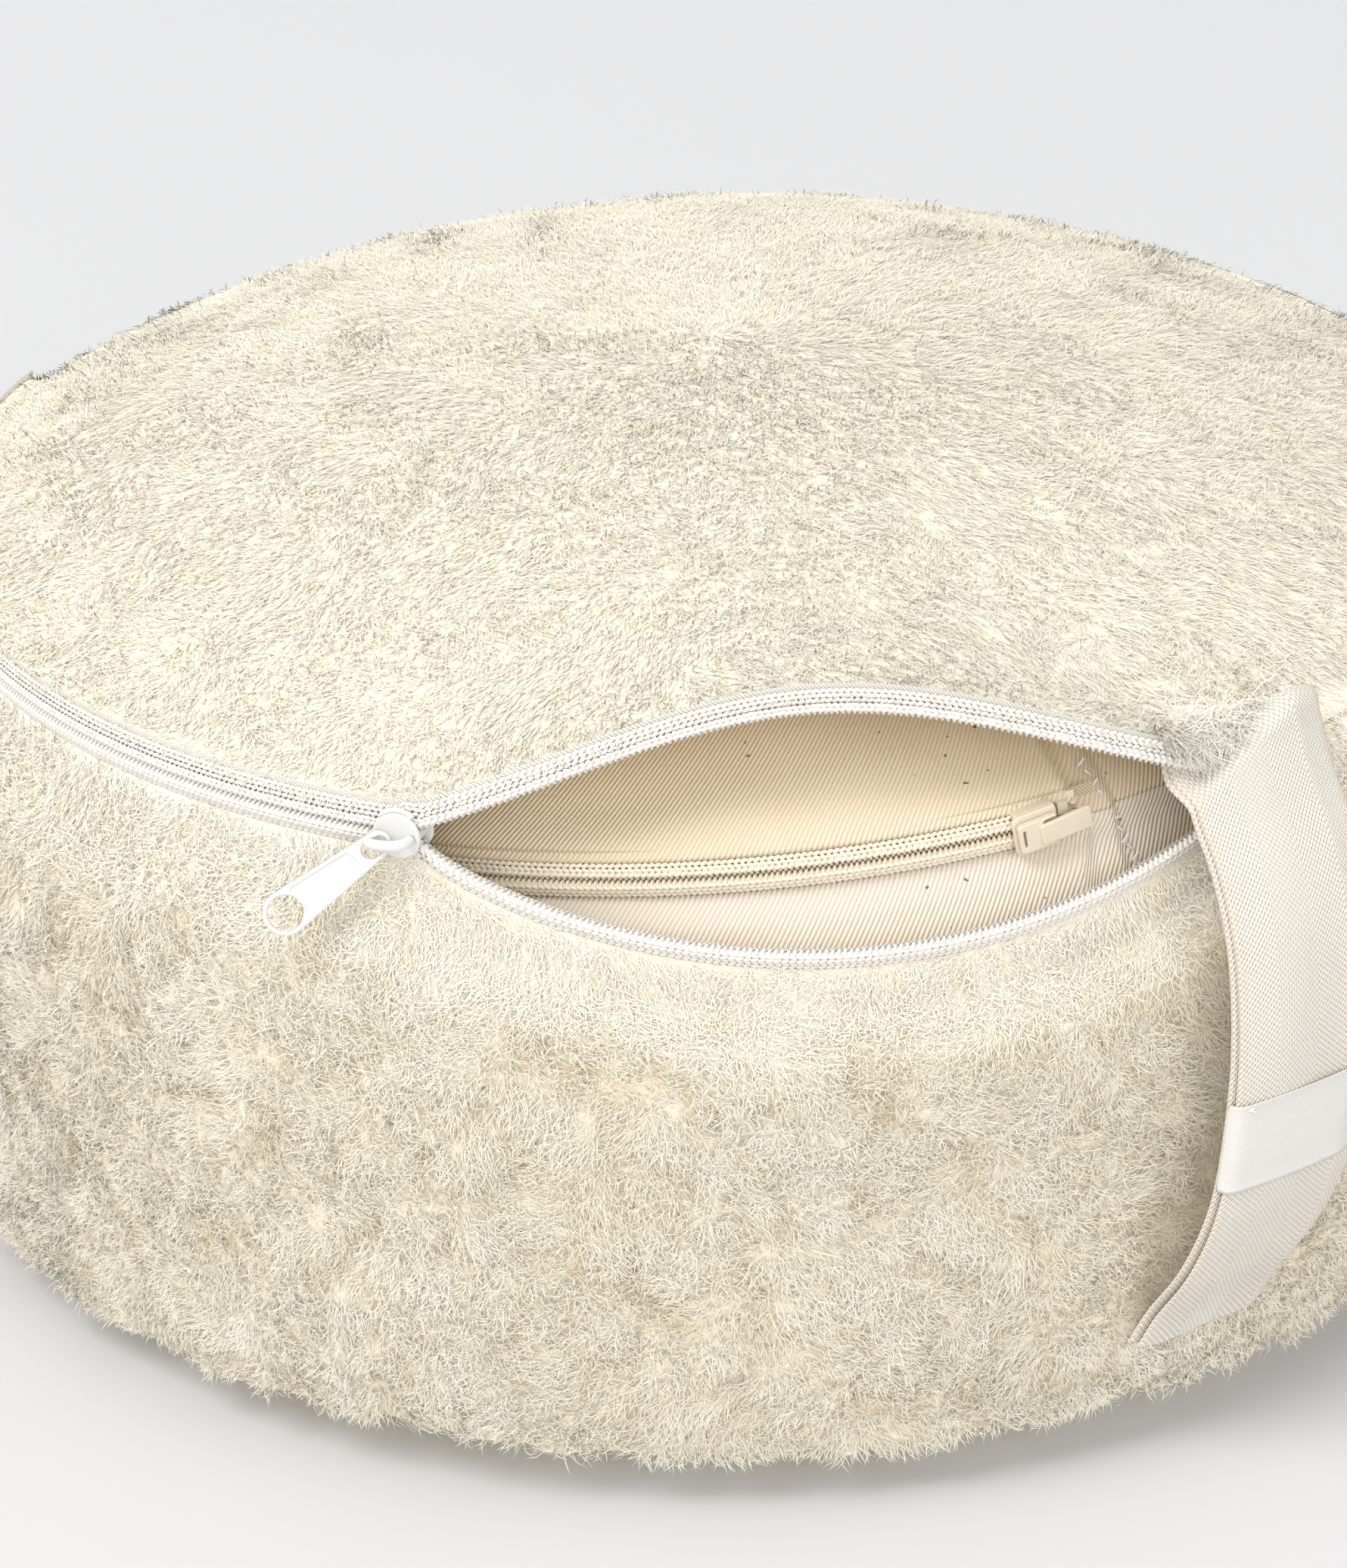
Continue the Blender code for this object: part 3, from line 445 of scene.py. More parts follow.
# Side band, front and rear lengths
for name, low, high, cols, strands, parts in (
        ("cover_band_front", -BAND_JOIN, BAND_JOIN, 430, 210000, 4),
        ("cover_band_rear", BAND_JOIN, 360.0 - BAND_JOIN, 310, 110000, 3)):
    angles = np.linspace(low, high, cols)
    shares = np.linspace(0.0, 1.0, 96) ** 1.06
    share, angle = np.meshgrid(shares, angles, indexing="ij")
    wrapped = np.where(angle > 180.0, angle - 360.0, angle)
    place = band_place(share, wrapped)
    clumpy = smooth((share - 0.04) / 0.22) * 0.95 + 0.05
    place, normal, height, shade_and_tone = pile_ground(place, clumpy, 31, smooth(share / 0.05))
    # Less painted shade towards the zip: the value is raised where the pile lies short and smooth beside the
    # lip.
    shade_and_tone = shade_and_tone * 0.62 + 0.30 * (1.0 - smooth(share / 0.20))
    sewn = 1.0 - smooth(np.minimum(angle - low, high - angle) / 1.1)
    place = place - normal * (0.0022 * sewn)[..., None]
    lip = band_place(np.zeros(cols), wrapped[0])
    tuck_in = lip + around(np.full(cols, -TURNED_IN), angles, np.full(cols, -0.0002))
    full = np.concatenate([tuck_in[None], place])
    band = add_mesh(name + "_cloth", full.reshape(-1, 3), grid_faces(len(full), cols))
    note(band, "shade_and_tone", np.concatenate([shade_and_tone[:1], shade_and_tone]).ravel())
    ground_cloth.on(band)
    spots = cell_spots(place, int(strands * quick_pile), rng)
    root, up = at_spots(place, spots), at_spots(normal, spots)
    lay = along_cloth(np.array([0.0, 0.0, -1.0]), up)
    near_zip = 1.0 - smooth(at_spots(share, spots) / 0.09)
    band_pile = grow_pile(name + "_pile", root, up, lay * 0.5, 0.0044 - 0.0014 * near_zip,
                          at_spots(clumpy, spots), at_spots(shade_and_tone, spots), 41, parts, pile)
    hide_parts(name)

# Bottom panel
shares = np.concatenate([[1.0], 1.0 - np.array([0.016, 0.047, 0.079]), np.linspace(0.88, 0.01, 40)])
heights = np.concatenate([[FOOT_H - 0.0002, 0.0052, 0.0022, 0.0012], np.full(40, 0.0010)])
share, angle = np.meshgrid(shares, np.linspace(-180.0, 180.0, 361), indexing="ij")
place = around(FOOT_R * share - 0.0012, angle, heights[:, None] + 0.0 * share)
ripple = drift(place.reshape(-1, 3), 0.012, 5).reshape(share.shape)
place[..., 2] += 0.0008 * ripple * (share < 0.9)
cover_bottom = add_mesh("cover_bottom_cloth", place[:, :-1].reshape(-1, 3),
                        grid_faces(len(shares), 360, True)[:, ::-1])
note(cover_bottom, "shade_and_tone", 0.35 + 0.5 * ripple[:, :-1].ravel())
ground_cloth.on(cover_bottom)
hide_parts("cover_bottom_panel")


# ---------------------------------------------------------------------------------------------
# Cover zip: two woven tapes sewn behind the fleece edges, each with a nylon coil held on by rows
# of stitches. It is closed at the left and parts at the slider into the two lips of the mouth.

ZIP_R = 0.1842
COIL_W, COIL_T = 0.0028, 0.0020
COIL_PITCH = 0.00125
COIL_OFF = 0.0003       # gap between a tape's face and its coil
WIRE_R, CORD_R = 0.00038, 0.00072
TAPE_NEAR, TAPE_FAR = 0.0004, 0.0062
TAPE_SPARE = 1.6        # degrees of tape past each end of the coils


def cover_zip_at(angle, side, out, up):
    """A point on the cover's zip; out is from the face of the tape, up is away from the middle."""
    shift_out, shift_up = lip_shift(angle, side > 0)
    return around(ZIP_R + shift_out + out, angle, SEAM_H + shift_up + side * (coil_part(angle) + up))


def tube(name, points, radius, sides, body="cushion"):
    """A round wire through the points, capped at both ends; radius may change along it."""
    ahead = unit(np.gradient(points, axis=0))
    near = unit(points * [1.0, 1.0, 0.0])
    near = near - ahead * (near * ahead).sum(-1, keepdims=True)
    near = unit(near + np.array([1e-4, 0.0, 2e-4]))
    cross = unit(np.cross(ahead, near))
    near = np.cross(cross, ahead)
    turn = np.linspace(0.0, 2.0 * np.pi, sides, endpoint=False)
    radius = np.broadcast_to(radius, len(points))[:, None, None]
    ring = cross[:, None] * np.cos(turn)[None, :, None] + near[:, None] * np.sin(turn)[None, :, None]
    body_points = (points[:, None] + ring * radius).reshape(-1, 3)
    faces = grid_faces(len(points), sides, True)
    caps = np.stack([np.arange(sides), len(body_points) - 1 - np.arange(sides)])
    return add_mesh(name, body_points, [faces, caps], body)


def coil_wire(name, at, low, high, side, finish):
    """The loops of one coil, as a wound wire, with the cord that it is wound round."""
    angles = np.linspace(low, high, 900)
    cord = tube(name + "_cord", at(angles, side, COIL_OFF + 0.5 * COIL_T, 0.5 * COIL_W), CORD_R, 7)
    pitch = math.degrees(COIL_PITCH / ZIP_R)
    steps = np.arange(0.0, (high - low) / pitch, 1.0 / 11.0)
    phase = 2.0 * np.pi * steps + (np.pi if side < 0 else 0.0)
    up = 0.5 * COIL_W + (0.5 * COIL_W - WIRE_R + 0.00012) * np.cos(phase)
    out = COIL_OFF + 0.5 * COIL_T + (0.5 * COIL_T - WIRE_R) * np.sin(phase)
    loops = tube(name, at(low + steps * pitch, side, out, up), WIRE_R, 5)
    for piece in (cord, loops):
        finish.on(piece)
    return loops


def stitches(name, middle, ahead, normal, length, width, height):
    """A run of plump thread stitches, one at each middle, lying along ahead."""
    rings = np.array([(-0.5, 0.25), (-0.40, 0.72), (-0.15, 1.0), (0.15, 1.0), (0.40, 0.72), (0.5, 0.25)])
    turn = np.linspace(0.0, 2.0 * np.pi, 6, endpoint=False)
    ahead = unit(ahead)
    across = unit(np.cross(normal, ahead))
    shape = []
    for x, r in rings:
        for a in turn:
            shape.append((x * length, r * 0.5 * width * math.cos(a), r * 0.5 * height * math.sin(a)))
    shape = np.array(shape)
    points = (middle[:, None] + ahead[:, None] * shape[None, :, :1] + across[:, None] * shape[None, :, 1:2]
              + unit(normal)[:, None] * shape[None, :, 2:])
    count = len(shape)
    sides = grid_faces(6, 6, True)
    base = np.arange(len(middle))[:, None, None] * count
    caps = np.array([[5, 4, 3, 2, 1, 0], [30, 31, 32, 33, 34, 35]])
    return add_mesh(name, points.reshape(-1, 3),
                    [(base + sides).reshape(-1, 4), (base + caps).reshape(-1, 6)])


def chain_rows(name, at, low, high, rows, pitch, width):
    """Rows of slanting stitches along a zip; each row is (side, out, up, slant)."""
    middle, ahead, normal = [], [], []
    for side, out, up, slant in rows:
        angles = np.arange(low, high, math.degrees(pitch / ZIP_R))
        here = at(angles, side, out, up)
        run = unit(at(angles + 0.05, side, out, up) - here)
        face = unit(here * [1.0, 1.0, 0.0])
        middle.append(here)
        normal.append(face)
        ahead.append(run + np.cross(face, run) * slant * side)
    return stitches(name, np.concatenate(middle), np.concatenate(ahead), np.concatenate(normal),
                    pitch * 1.18, width, 0.0006)


def zip_tape(name, at, low, high, side, near, far, steps, node):
    """A strip of woven tape between two distances from the middle of the zip."""
    angles = np.linspace(low, high, steps)
    ups = np.linspace(near, far, 9)
    up, angle = np.meshgrid(ups, angles, indexing="ij")
    made = add_mesh(name, at(angle, side, 0.0 * angle - 0.0001, up).reshape(-1, 3), grid_faces(9, steps))
    note(made, "lie", np.stack([np.radians(angle) * ZIP_R, up, 0.0 * up], -1).reshape(-1, 3))
    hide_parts(node)
    return made


def lie_of(finish):
    """Where a point lies on its cloth, in metres, and a third number that marks the cloth."""
    parts = finish.node("ShaderNodeSeparateXYZ", None, {"Vector": finish.read("lie", "Vector")})
    return [Tone(finish, socket) for socket in parts.socket.node.outputs]


def twill_lines(run, pitch, slope):
    """Even ribs from 0 to 1 that slope across a cloth."""
    return (run[0] * (2.0 * math.pi / pitch) + run[1] * (2.0 * math.pi * slope / pitch)).sine() * 0.5 + 0.5


def zip_cloth(name, dark, light, **sockets):
    """Tape woven with fine slanting ribs."""
    finish = Finish(name, **sockets)
    ribs = twill_lines(lie_of(finish), 0.0009, 1.0)
    finish.set(Base_Color=finish.mix(ribs, dark, light))
    finish.relief(ribs, 0.00018)
    return finish


def mottled(name, scale, dark, light, **sockets):
    """A thread, fibre or moulded nylon whose shade clouds softly between two colours."""
    finish = Finish(name, **sockets)
    finish.set(Base_Color=finish.mix(finish.noise(scale), dark, light))
    return finish


white_tape = zip_cloth("white_zip_tape", (0.80, 0.77, 0.70), (0.93, 0.915, 0.87),
                       Roughness=0.8, Specular_IOR_Level=0.25)
white_coil = mottled("white_nylon_coil", 300.0, (0.80, 0.775, 0.73), (0.88, 0.86, 0.83), Roughness=0.38)
white_thread = mottled("white_stitch_thread", 450.0, (0.80, 0.755, 0.705), (0.90, 0.865, 0.825),
                       Roughness=0.7, Specular_IOR_Level=0.3)
white_thread.relief(white_thread.noise(6000.0, 1.0), 0.00008)

for side, word in ((1.0, "upper"), (-1.0, "lower")):
    tape = zip_tape("cover_zip_tape_" + word, cover_zip_at, ZIP_LEFT - TAPE_SPARE, ZIP_RIGHT + TAPE_SPARE,
                    side, TAPE_NEAR, TAPE_FAR, 640, "cover_tape_" + word)
    white_tape.on(tape)
    coil = coil_wire("cover_zip_coil_" + word, cover_zip_at, ZIP_LEFT, ZIP_RIGHT, side,
                     white_coil)
    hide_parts("cover_coil_" + word)
    rows = chain_rows("cover_zip_stitches_" + word, cover_zip_at, ZIP_LEFT, ZIP_RIGHT,
                      [(side, 0.0022, 0.00135, 0.35), (side, 0.0021, 0.0022, -0.35),
                       (side, 0.0015, 0.0031, 0.35), (side, 0.0011, 0.0040, -0.35),
                       (side, 0.0008, 0.0049, 0.35)], 0.0015, 0.00100)
    white_thread.on(rows)
white_stop = mottled("white_zip_stop", 500.0, (0.88, 0.87, 0.83), (0.93, 0.92, 0.89), Roughness=0.35)
white_stop.on(*[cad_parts["cover_stop_" + word] for word in ("bottom", "upper", "lower")])


# ---------------------------------------------------------------------------------------------
# Casing: a round bag of cotton twill, a little askew inside the cover so that its own zip climbs
# to the right. Right of the zip's end the panels fold over each other and are tacked down.

CASING_R = 0.173
CASING_SEAM_H = 0.1408
CASING_TILT = 3.0
CASING_FOOT_R = 0.176
CASING_LEFT, CASING_SLIDER_AT = -76.0, 21.0
CASING_TOP = SEAM_H + CROWN - 0.0092 - CASING_SEAM_H
CASING_BELLY = 0.021    # how far its side swells out
CASING_FLOOR = 0.0115   # height of the seam at its foot
SLOT_END = 25.2         # where the slot between its edges closes
FOLD_AT = 27.0          # where the zip panel folds over


def casing_set(r, angle, z):
    """A point of the casing: z is from its seam, and the tilt fades away from the zip."""
    follow = smooth((z + 0.075) / 0.06) * smooth((0.030 - z) / 0.028)
    follow = follow * smooth((95.0 - angle) / 62.0) * smooth((angle + 160.0) / 78.0)
    tilt = np.radians(CASING_TILT * follow)
    flat = around(r, angle, 0.0 * r)
    x, y = flat[..., 0], flat[..., 1]
    return np.stack([x * np.cos(tilt) - z * np.sin(tilt), y,
                     CASING_SEAM_H + x * np.sin(tilt) + z * np.cos(tilt)], -1)


def casing_slot(angle):
    inside = smooth((angle - CASING_LEFT + 4.0) / 4.0) * smooth((SLOT_END - angle) / 1.6)
    return 0.00004 + 0.0037 * inside


def fold_over(angle):
    """The zip panel rises towards its folded edge and drops just past it."""
    return 0.0016 * smooth((angle - FOLD_AT + 5.0) / 4.4) * smooth((FOLD_AT + 0.45 - angle) / 0.45)


def cloth_waves(place, size, seed):
    return (drift(place.reshape(-1, 3), size, seed) - 0.5).reshape(place.shape[:-1])


def casing_top_at(share, angle):
    slot = casing_slot(angle)
    puff = mouth_wave(angle) ** 2
    dome = np.maximum(0.0, 1.0 - share ** 3) ** (0.84 - 0.14 * puff)
    return casing_set(CASING_R * share + fold_over(angle) * share ** 8, angle,
                      slot + (CASING_TOP - slot) * dome)


def casing_side_at(share, angle):
    top = -casing_slot(angle) - 0.0004 * smooth((SLOT_END - angle) / 1.6)
    floor = CASING_FLOOR - 0.0002 - CASING_SEAM_H
    z = top + (floor - top) * share
    part = np.clip(z / (CASING_FLOOR - CASING_SEAM_H), 0.0, 1.0)
    arch = np.maximum(0.0, np.sin(np.pi * np.minimum(1.0, part * 1.15)))
    swell = np.where(part < 0.87, 0.9 * CASING_BELLY * arch, 0.0)
    rolled = (1.0 - smooth(share / 0.05)) * 0.0028 * smooth((casing_slot(angle) - 0.0002) / 0.003)
    return casing_set(CASING_R + (CASING_FOOT_R - CASING_R) * part ** 2 + swell - rolled
                      + fold_over(angle) * (1.0 - smooth(share / 0.3)), angle, z)


twill = Finish("cotton_twill", Roughness=0.9, Specular_IOR_Level=0.15)
run = lie_of(twill)
rib = twill_lines(run, 0.00112, 0.62)
# Painted shade: the top panel is painted tan and the side panel whiter, for the warm shade under the upper
# lip of the cover.
shade = twill.mix(run[2], (0.960, 0.905, 0.805), (0.940, 0.815, 0.615))
shade = twill.mix(twill.noise(28.0, 2.0) * 0.35, shade, (0.97, 0.89, 0.74))
shade = twill.mix(rib, twill.mix(0.50, shade, (0.62, 0.42, 0.23)), shade)
fleck = twill.noise(520.0, 0.0).over(0.862)
twill.set(Base_Color=twill.mix(fleck * 0.85, shade, (0.16, 0.09, 0.05)))
twill.relief(rib + twill.noise(2600.0, 2.0) * 0.25, 0.00028)

angles = np.concatenate([np.linspace(-180.0, -35.0, 130), np.linspace(-34.5, 45.0, 260),
                         np.linspace(46.0, 180.0, 122)])
for name, at, shares, node, flat, area in (
        ("casing_top_cloth", casing_top_at, 1.0 - np.linspace(0.0, 1.0, 90) ** 1.3 * 0.998,
         "casing_top_panel", (0.37, 0.37), math.pi * 0.185 ** 2),
        ("casing_side_cloth", casing_side_at, np.linspace(0.0, 1.0, 80) ** 1.25,
         "casing_band", (0.15, 1.14), None)):
    share, angle = np.meshgrid(shares, angles, indexing="ij")
    place = at(share, angle)
    normal = grid_normals(place)
    waves = 0.0022 * cloth_waves(place, 0.035, 51) + 0.0007 * cloth_waves(place, 0.012, 52)
    away = smooth(np.abs(share - share[0, 0]) / 0.06)
    place = place - normal * (0.0002 + (0.0011 - waves) * away)[..., None]
    turned = place[:1] - normal[:1] * 0.0012
    full = np.concatenate([turned, place])
    made = add_mesh(name, full.reshape(-1, 3), grid_faces(len(full), len(angles)))
    depth = np.concatenate([[0.0], np.cumsum(np.linalg.norm(np.diff(full[:, 200], axis=0), axis=-1))])
    on_top = 1.0 if at is casing_top_at else 0.0
    depth = -depth if on_top else depth
    lie = np.stack(np.broadcast_arrays(np.radians(angles)[None] * CASING_R, depth[:, None], on_top), -1)
    note(made, "lie", lie.reshape(-1, 3))
    twill.on(made)
    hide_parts(node)
shares = np.linspace(1.0, 0.01, 30)
share, angle = np.meshgrid(shares, np.linspace(-180.0, 180.0, 181), indexing="ij")
place = around(CASING_FOOT_R * share, angle, 0.0078 + 0.0034 * smooth((share - 0.93) / 0.07))
casing_bottom = add_mesh("casing_bottom_cloth", place[:, :-1].reshape(-1, 3), grid_faces(30, 180, True))
note(casing_bottom, "lie", place[:, :-1].reshape(-1, 3))
twill.on(casing_bottom)
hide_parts("casing_bottom_panel")

# Loose fibre filling, seen only if the casing is opened
poles = np.linspace(0.02, math.pi - 0.02, 40)
share, angle = np.meshgrid(np.sin(poles), np.linspace(-180.0, 180.0, 181), indexing="ij")
rise = -np.cos(poles)[:, None] + 0.0 * share
place = around(0.166 * share ** 0.45, angle, 0.094 + 0.083 * np.sign(rise) * np.abs(rise) ** 1.15)
place += grid_normals(place) * (0.006 * cloth_waves(place, 0.03, 61) - 0.003)[..., None]
filling = add_mesh("fibre_filling", place[:, :-1].reshape(-1, 3), grid_faces(40, 180, True)[:, ::-1])
wadding = mottled("fibre_wadding", 120.0, (0.86, 0.85, 0.82), (0.95, 0.95, 0.93), Roughness=0.95)
wadding.relief(wadding.noise(400.0, 5.0), 0.002)
wadding.on(filling)
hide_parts("filling_core")


# ---------------------------------------------------------------------------------------------
# Casing zip: the same sort of coil zip in beige, sewn behind the turned edges of the twill. It is
# shut all the way to its slider, and stops short of the tacked fold.

CASING_ZIP_R = 0.1717
CASING_TAPE_FAR = 0.0058
CASING_TAPE_RIGHT = 26.0


def casing_zip_at(angle, side, out, up):
    """A point on the casing's zip."""
    flat = around(CASING_ZIP_R + out, angle, 0.0 * angle)
    tilt = math.radians(CASING_TILT)
    x, y, z = flat[..., 0], flat[..., 1], side * up + 0.0 * angle
    return np.stack([x * math.cos(tilt) - z * math.sin(tilt), y,
                     CASING_SEAM_H + x * math.sin(tilt) + z * math.cos(tilt)], -1)


beige_tape = zip_cloth("beige_zip_tape", (0.60, 0.47, 0.31), (0.80, 0.69, 0.52),
                       Roughness=0.8, Specular_IOR_Level=0.2)
beige_coil = mottled("beige_nylon_coil", 300.0, (0.80, 0.69, 0.53), (0.90, 0.81, 0.67), Roughness=0.4)
beige_thread = mottled("beige_stitch_thread", 450.0, (0.82, 0.72, 0.56), (0.95, 0.88, 0.76),
                       Roughness=0.75, Specular_IOR_Level=0.25)
for side, word in ((1.0, "upper"), (-1.0, "lower")):
    tape = zip_tape("casing_zip_tape_" + word, casing_zip_at, CASING_LEFT - TAPE_SPARE, CASING_TAPE_RIGHT,
                    side, TAPE_NEAR, CASING_TAPE_FAR, 420, "casing_tape_" + word)
    beige_tape.on(tape)
    coil = coil_wire("casing_zip_coil_" + word, casing_zip_at, CASING_LEFT, CASING_SLIDER_AT + 0.4, side,
                     beige_coil)
    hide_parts("casing_coil_" + word)
    rows = chain_rows("casing_zip_stitches_" + word, casing_zip_at, CASING_LEFT, CASING_SLIDER_AT - 1.0,
                      [(side, 0.0023, 0.00150, 0.50), (side, 0.0020, 0.00245, -0.50),
                       (side, 0.0016, 0.00335, 0.50)], 0.00145, 0.00105)
    beige_thread.on(rows)
beige_stop = mottled("beige_zip_stop", 500.0, (0.78, 0.68, 0.54), (0.84, 0.75, 0.62), Roughness=0.4)
beige_stop.on(*[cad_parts["casing_stop_" + word] for word in ("bottom", "upper", "lower")])

# Tacking down the fold: a zigzag of pale thread over the folded edge
steps = np.arange(13)
up = -0.0145 + 0.0019 * steps
on_fold = FOLD_AT - 0.2 - 90.0 * up
shares = np.linspace(1.0, 0.86, 40)
above = np.interp(up, CASING_TOP * (1.0 - shares ** 3) ** 0.74, shares) * CASING_R
part = np.clip(up / (CASING_FLOOR - CASING_SEAM_H), 0.0, 1.0)
below = CASING_R + 0.9 * CASING_BELLY * np.sin(np.pi * 1.15 * part)
here = casing_set(np.where(up > 0.0, above, below) + 0.0002, on_fold, up)
face = unit(here * [1.0, 1.0, 0.0])
across = np.cross(face, np.array([0.0, 0.0, 1.0]))
zigzag = np.array([0.0, 0.0, 1.0]) + across * np.where(steps % 2, 0.9, -0.9)[:, None]
tack = stitches("fold_tacking", here, zigzag, face, 0.0026, 0.0006, 0.0005)
tack_thread = mottled("pale_tacking_thread", 450.0, (0.80, 0.77, 0.86), (0.92, 0.90, 0.95), Roughness=0.7)
tack_thread.on(tack)
beige_thread.on(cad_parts["casing_bartack"])


# ---------------------------------------------------------------------------------------------
# Cover slider and its pull tab: white moulded nylon. The slider is a round front plate over a
# back plate, joined by a post, with a thick bridge that hooks through the eye of the tab.

FROM_MM = Matrix.Scale(0.001, 4)
COVER_EYE_X = 25.1      # middle of the ring at the free end of the cover's tab, in millimetres


def circle(x, y, r, steps):
    turn = np.linspace(0.0, 2.0 * np.pi, steps, endpoint=False)
    return np.stack([x + r * np.cos(turn), y + r * np.sin(turn)], -1)


def long_round(x1, r1, x2, r2, steps=28):
    """The outline round two circles on one line, in millimetres."""
    lean = math.acos((r1 - r2) / (x2 - x1))
    right = np.linspace(-lean, lean, steps)
    left = np.linspace(lean, 2.0 * np.pi - lean, steps)
    return np.concatenate([np.stack([x2 + r2 * np.cos(right), r2 * np.sin(right)], -1),
                           np.stack([x1 + r1 * np.cos(left), r1 * np.sin(left)], -1)])


def soft_corners(points, r):
    """A polygon with each corner rounded off."""
    points = np.array(points, float)
    out = []
    for before, here, after in zip(np.roll(points, 1, 0), points, np.roll(points, -1, 0)):
        a = here + unit(before - here) * r
        b = here + unit(after - here) * r
        for t in np.linspace(0.0, 1.0, 6):
            out.append(a * (1 - t) ** 2 + here * 2 * t * (1 - t) + b * t ** 2)
    return np.array(out)


def moulded_plate(name, loops, thickness, edge, place, body):
    """A plate with rounded edges, in millimetres: the first loop is its outline, the others its holes."""
    curve = bpy.data.curves.new(name, "CURVE")
    curve.dimensions = "2D"
    curve.fill_mode = "BOTH"
    curve.extrude = 0.5 * thickness - edge
    curve.bevel_depth = edge
    curve.bevel_resolution = 3
    curve.offset = -edge
    for loop in loops:
        line = curve.splines.new("POLY")
        line.points.add(len(loop) - 1)
        rest = np.tile([0.0, 1.0], (len(loop), 1))
        line.points.foreach_set("co", np.concatenate([loop, rest], 1).ravel())
        line.use_cyclic_u = True
    holder = bpy.data.objects.new(name + "_outline", curve)
    bpy.context.scene.collection.objects.link(holder)
    ready = holder.evaluated_get(bpy.context.evaluated_depsgraph_get())
    mesh = bpy.data.meshes.new_from_object(ready)
    bpy.data.objects.remove(holder)
    bpy.data.curves.remove(curve)
    mesh.name = name
    mesh.materials.clear()
    mesh.transform(place @ FROM_MM)
    mesh.shade_smooth()
    mesh.set_sharp_from_angle(angle=math.radians(50.0))
    made = bpy.data.objects.new(name, mesh)
    bpy.context.scene.collection.objects.link(made)
    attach(made, body)
    return made


def round_line(points, parts):
    """A smooth line through the points."""
    ends = np.concatenate([[2 * points[0] - points[1]], points, [2 * points[-1] - points[-2]]])
    t = np.linspace(0.0, 1.0, parts, endpoint=False)[:, None]
    out = []
    for a, b, c, d in zip(ends, ends[1:], ends[2:], ends[3:]):
        out.append(0.5 * (2 * b + (c - a) * t + (2 * a - 5 * b + 4 * c - d) * t ** 2
                          + (3 * b - a - 3 * c + d) * t ** 3))
    return np.concatenate(out + [points[-1:]])


def bar(name, points, radius):
    """A rounded bar of the cover's slider, through points in millimetres in its own frame."""
    made = tube(name, round_line(np.array(points, float), 8), radius, 14, "cover_slider")
    made.data.transform(slider_frame @ FROM_MM)
    return made


white_nylon = mottled("white_moulded_nylon", 220.0, (0.715, 0.71, 0.69), (0.76, 0.757, 0.745),
                      Roughness=0.34, Subsurface_Weight=0.15, Subsurface_Scale=0.002)
white_nylon.relief(white_nylon.noise(1800.0, 2.0), 0.00004)

slider_frame = Matrix.Translation((0.0, 0.0, SEAM_H)) @ Matrix.Rotation(math.radians(SLIDER_AT), 4, "Z")
PLATE_OFF = 0.00265     # from the tape's face to the inner face of a front plate
face = (ZIP_R + PLATE_OFF) * 1000.0
flat_on = Matrix.Rotation(0.5 * math.pi, 4, "X")
cover_slider = [
    moulded_plate("cover_slider_front", [long_round(-0.5, 4.7, 0.3, 5.1)], 1.2, 0.5,
                  slider_frame @ Matrix.Translation((0.0, -(ZIP_R + PLATE_OFF) - 0.0006, 0.0)) @ flat_on,
                  "cover_slider"),
    moulded_plate("cover_slider_back", [long_round(0.2, 4.6, 1.9, 4.5)], 1.0, 0.45,
                  slider_frame @ Matrix.Translation((0.0, -0.1830, 0.0)) @ flat_on, "cover_slider"),
    bar("cover_slider_post", [(3.9, -183.0, 0.0), (3.9, -185.0, 0.0), (3.9, -187.2, 0.0)], 1.15),
]
bridge = [(3.4, 0.7), (3.4, 2.3), (2.7, 4.2), (0.9, 5.3), (-2.0, 5.7), (-3.9, 5.4), (-4.9, 4.2),
          (-4.8, 2.4), (-4.5, 0.5)]
thick = np.interp(np.linspace(0.0, 1.0, 65), [0.0, 0.3, 0.6, 0.8, 1.0], [1.15, 1.2, 1.1, 0.95, 0.7])
cover_slider.append(bar("cover_slider_bridge", [(x, -face - out, 0.0) for x, out in bridge], thick))
for side, word in ((1.0, "upper"), (-1.0, "lower")):
    rail = [(-3.4, -face - 0.2, side * 4.2), (-2.2, -face + 0.4, side * 4.75),
            (0.0, -face + 0.7, side * 5.0), (2.4, -face + 0.4, side * 4.75), (3.6, -face - 0.2, side * 4.1)]
    cover_slider.append(bar("cover_slider_rail_" + word, rail, 0.62))
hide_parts("cover_slider")

pull_frame = (slider_frame @ Matrix.Translation((-0.0017, -0.18985, 0.0))
              @ Matrix.Rotation(math.radians(-38.0), 4, "Y") @ Matrix.Rotation(math.pi, 4, "Y")
              @ Matrix.Rotation(math.radians(-30.0), 4, "Z"))
eye = long_round(1.05, 1.45, 3.3, 1.95)
ring_hole = circle(COVER_EYE_X, 0.0, 3.72, 56)
outer = long_round(1.5, 2.8, COVER_EYE_X, 4.72, 40)
reach = np.linspace(8.0, 20.9, 12)
half = np.interp(reach, [1.5, COVER_EYE_X], [2.8, 4.7]) - 0.95
bow = np.linspace(half[-1], -half[-1], 14)
ring_end = np.stack([COVER_EYE_X - np.sqrt(4.95 ** 2 - bow ** 2) + 0.55, bow], -1)[1:-1]
back = bow[::-1] / half[-1]
eye_end = np.stack([8.0 - 0.9 * (1.0 - back ** 2), bow[::-1] * half[0] / half[-1]], -1)[1:-1]
panel = np.concatenate([np.stack([reach, half], -1), ring_end, np.stack([reach, -half], -1)[::-1], eye_end])
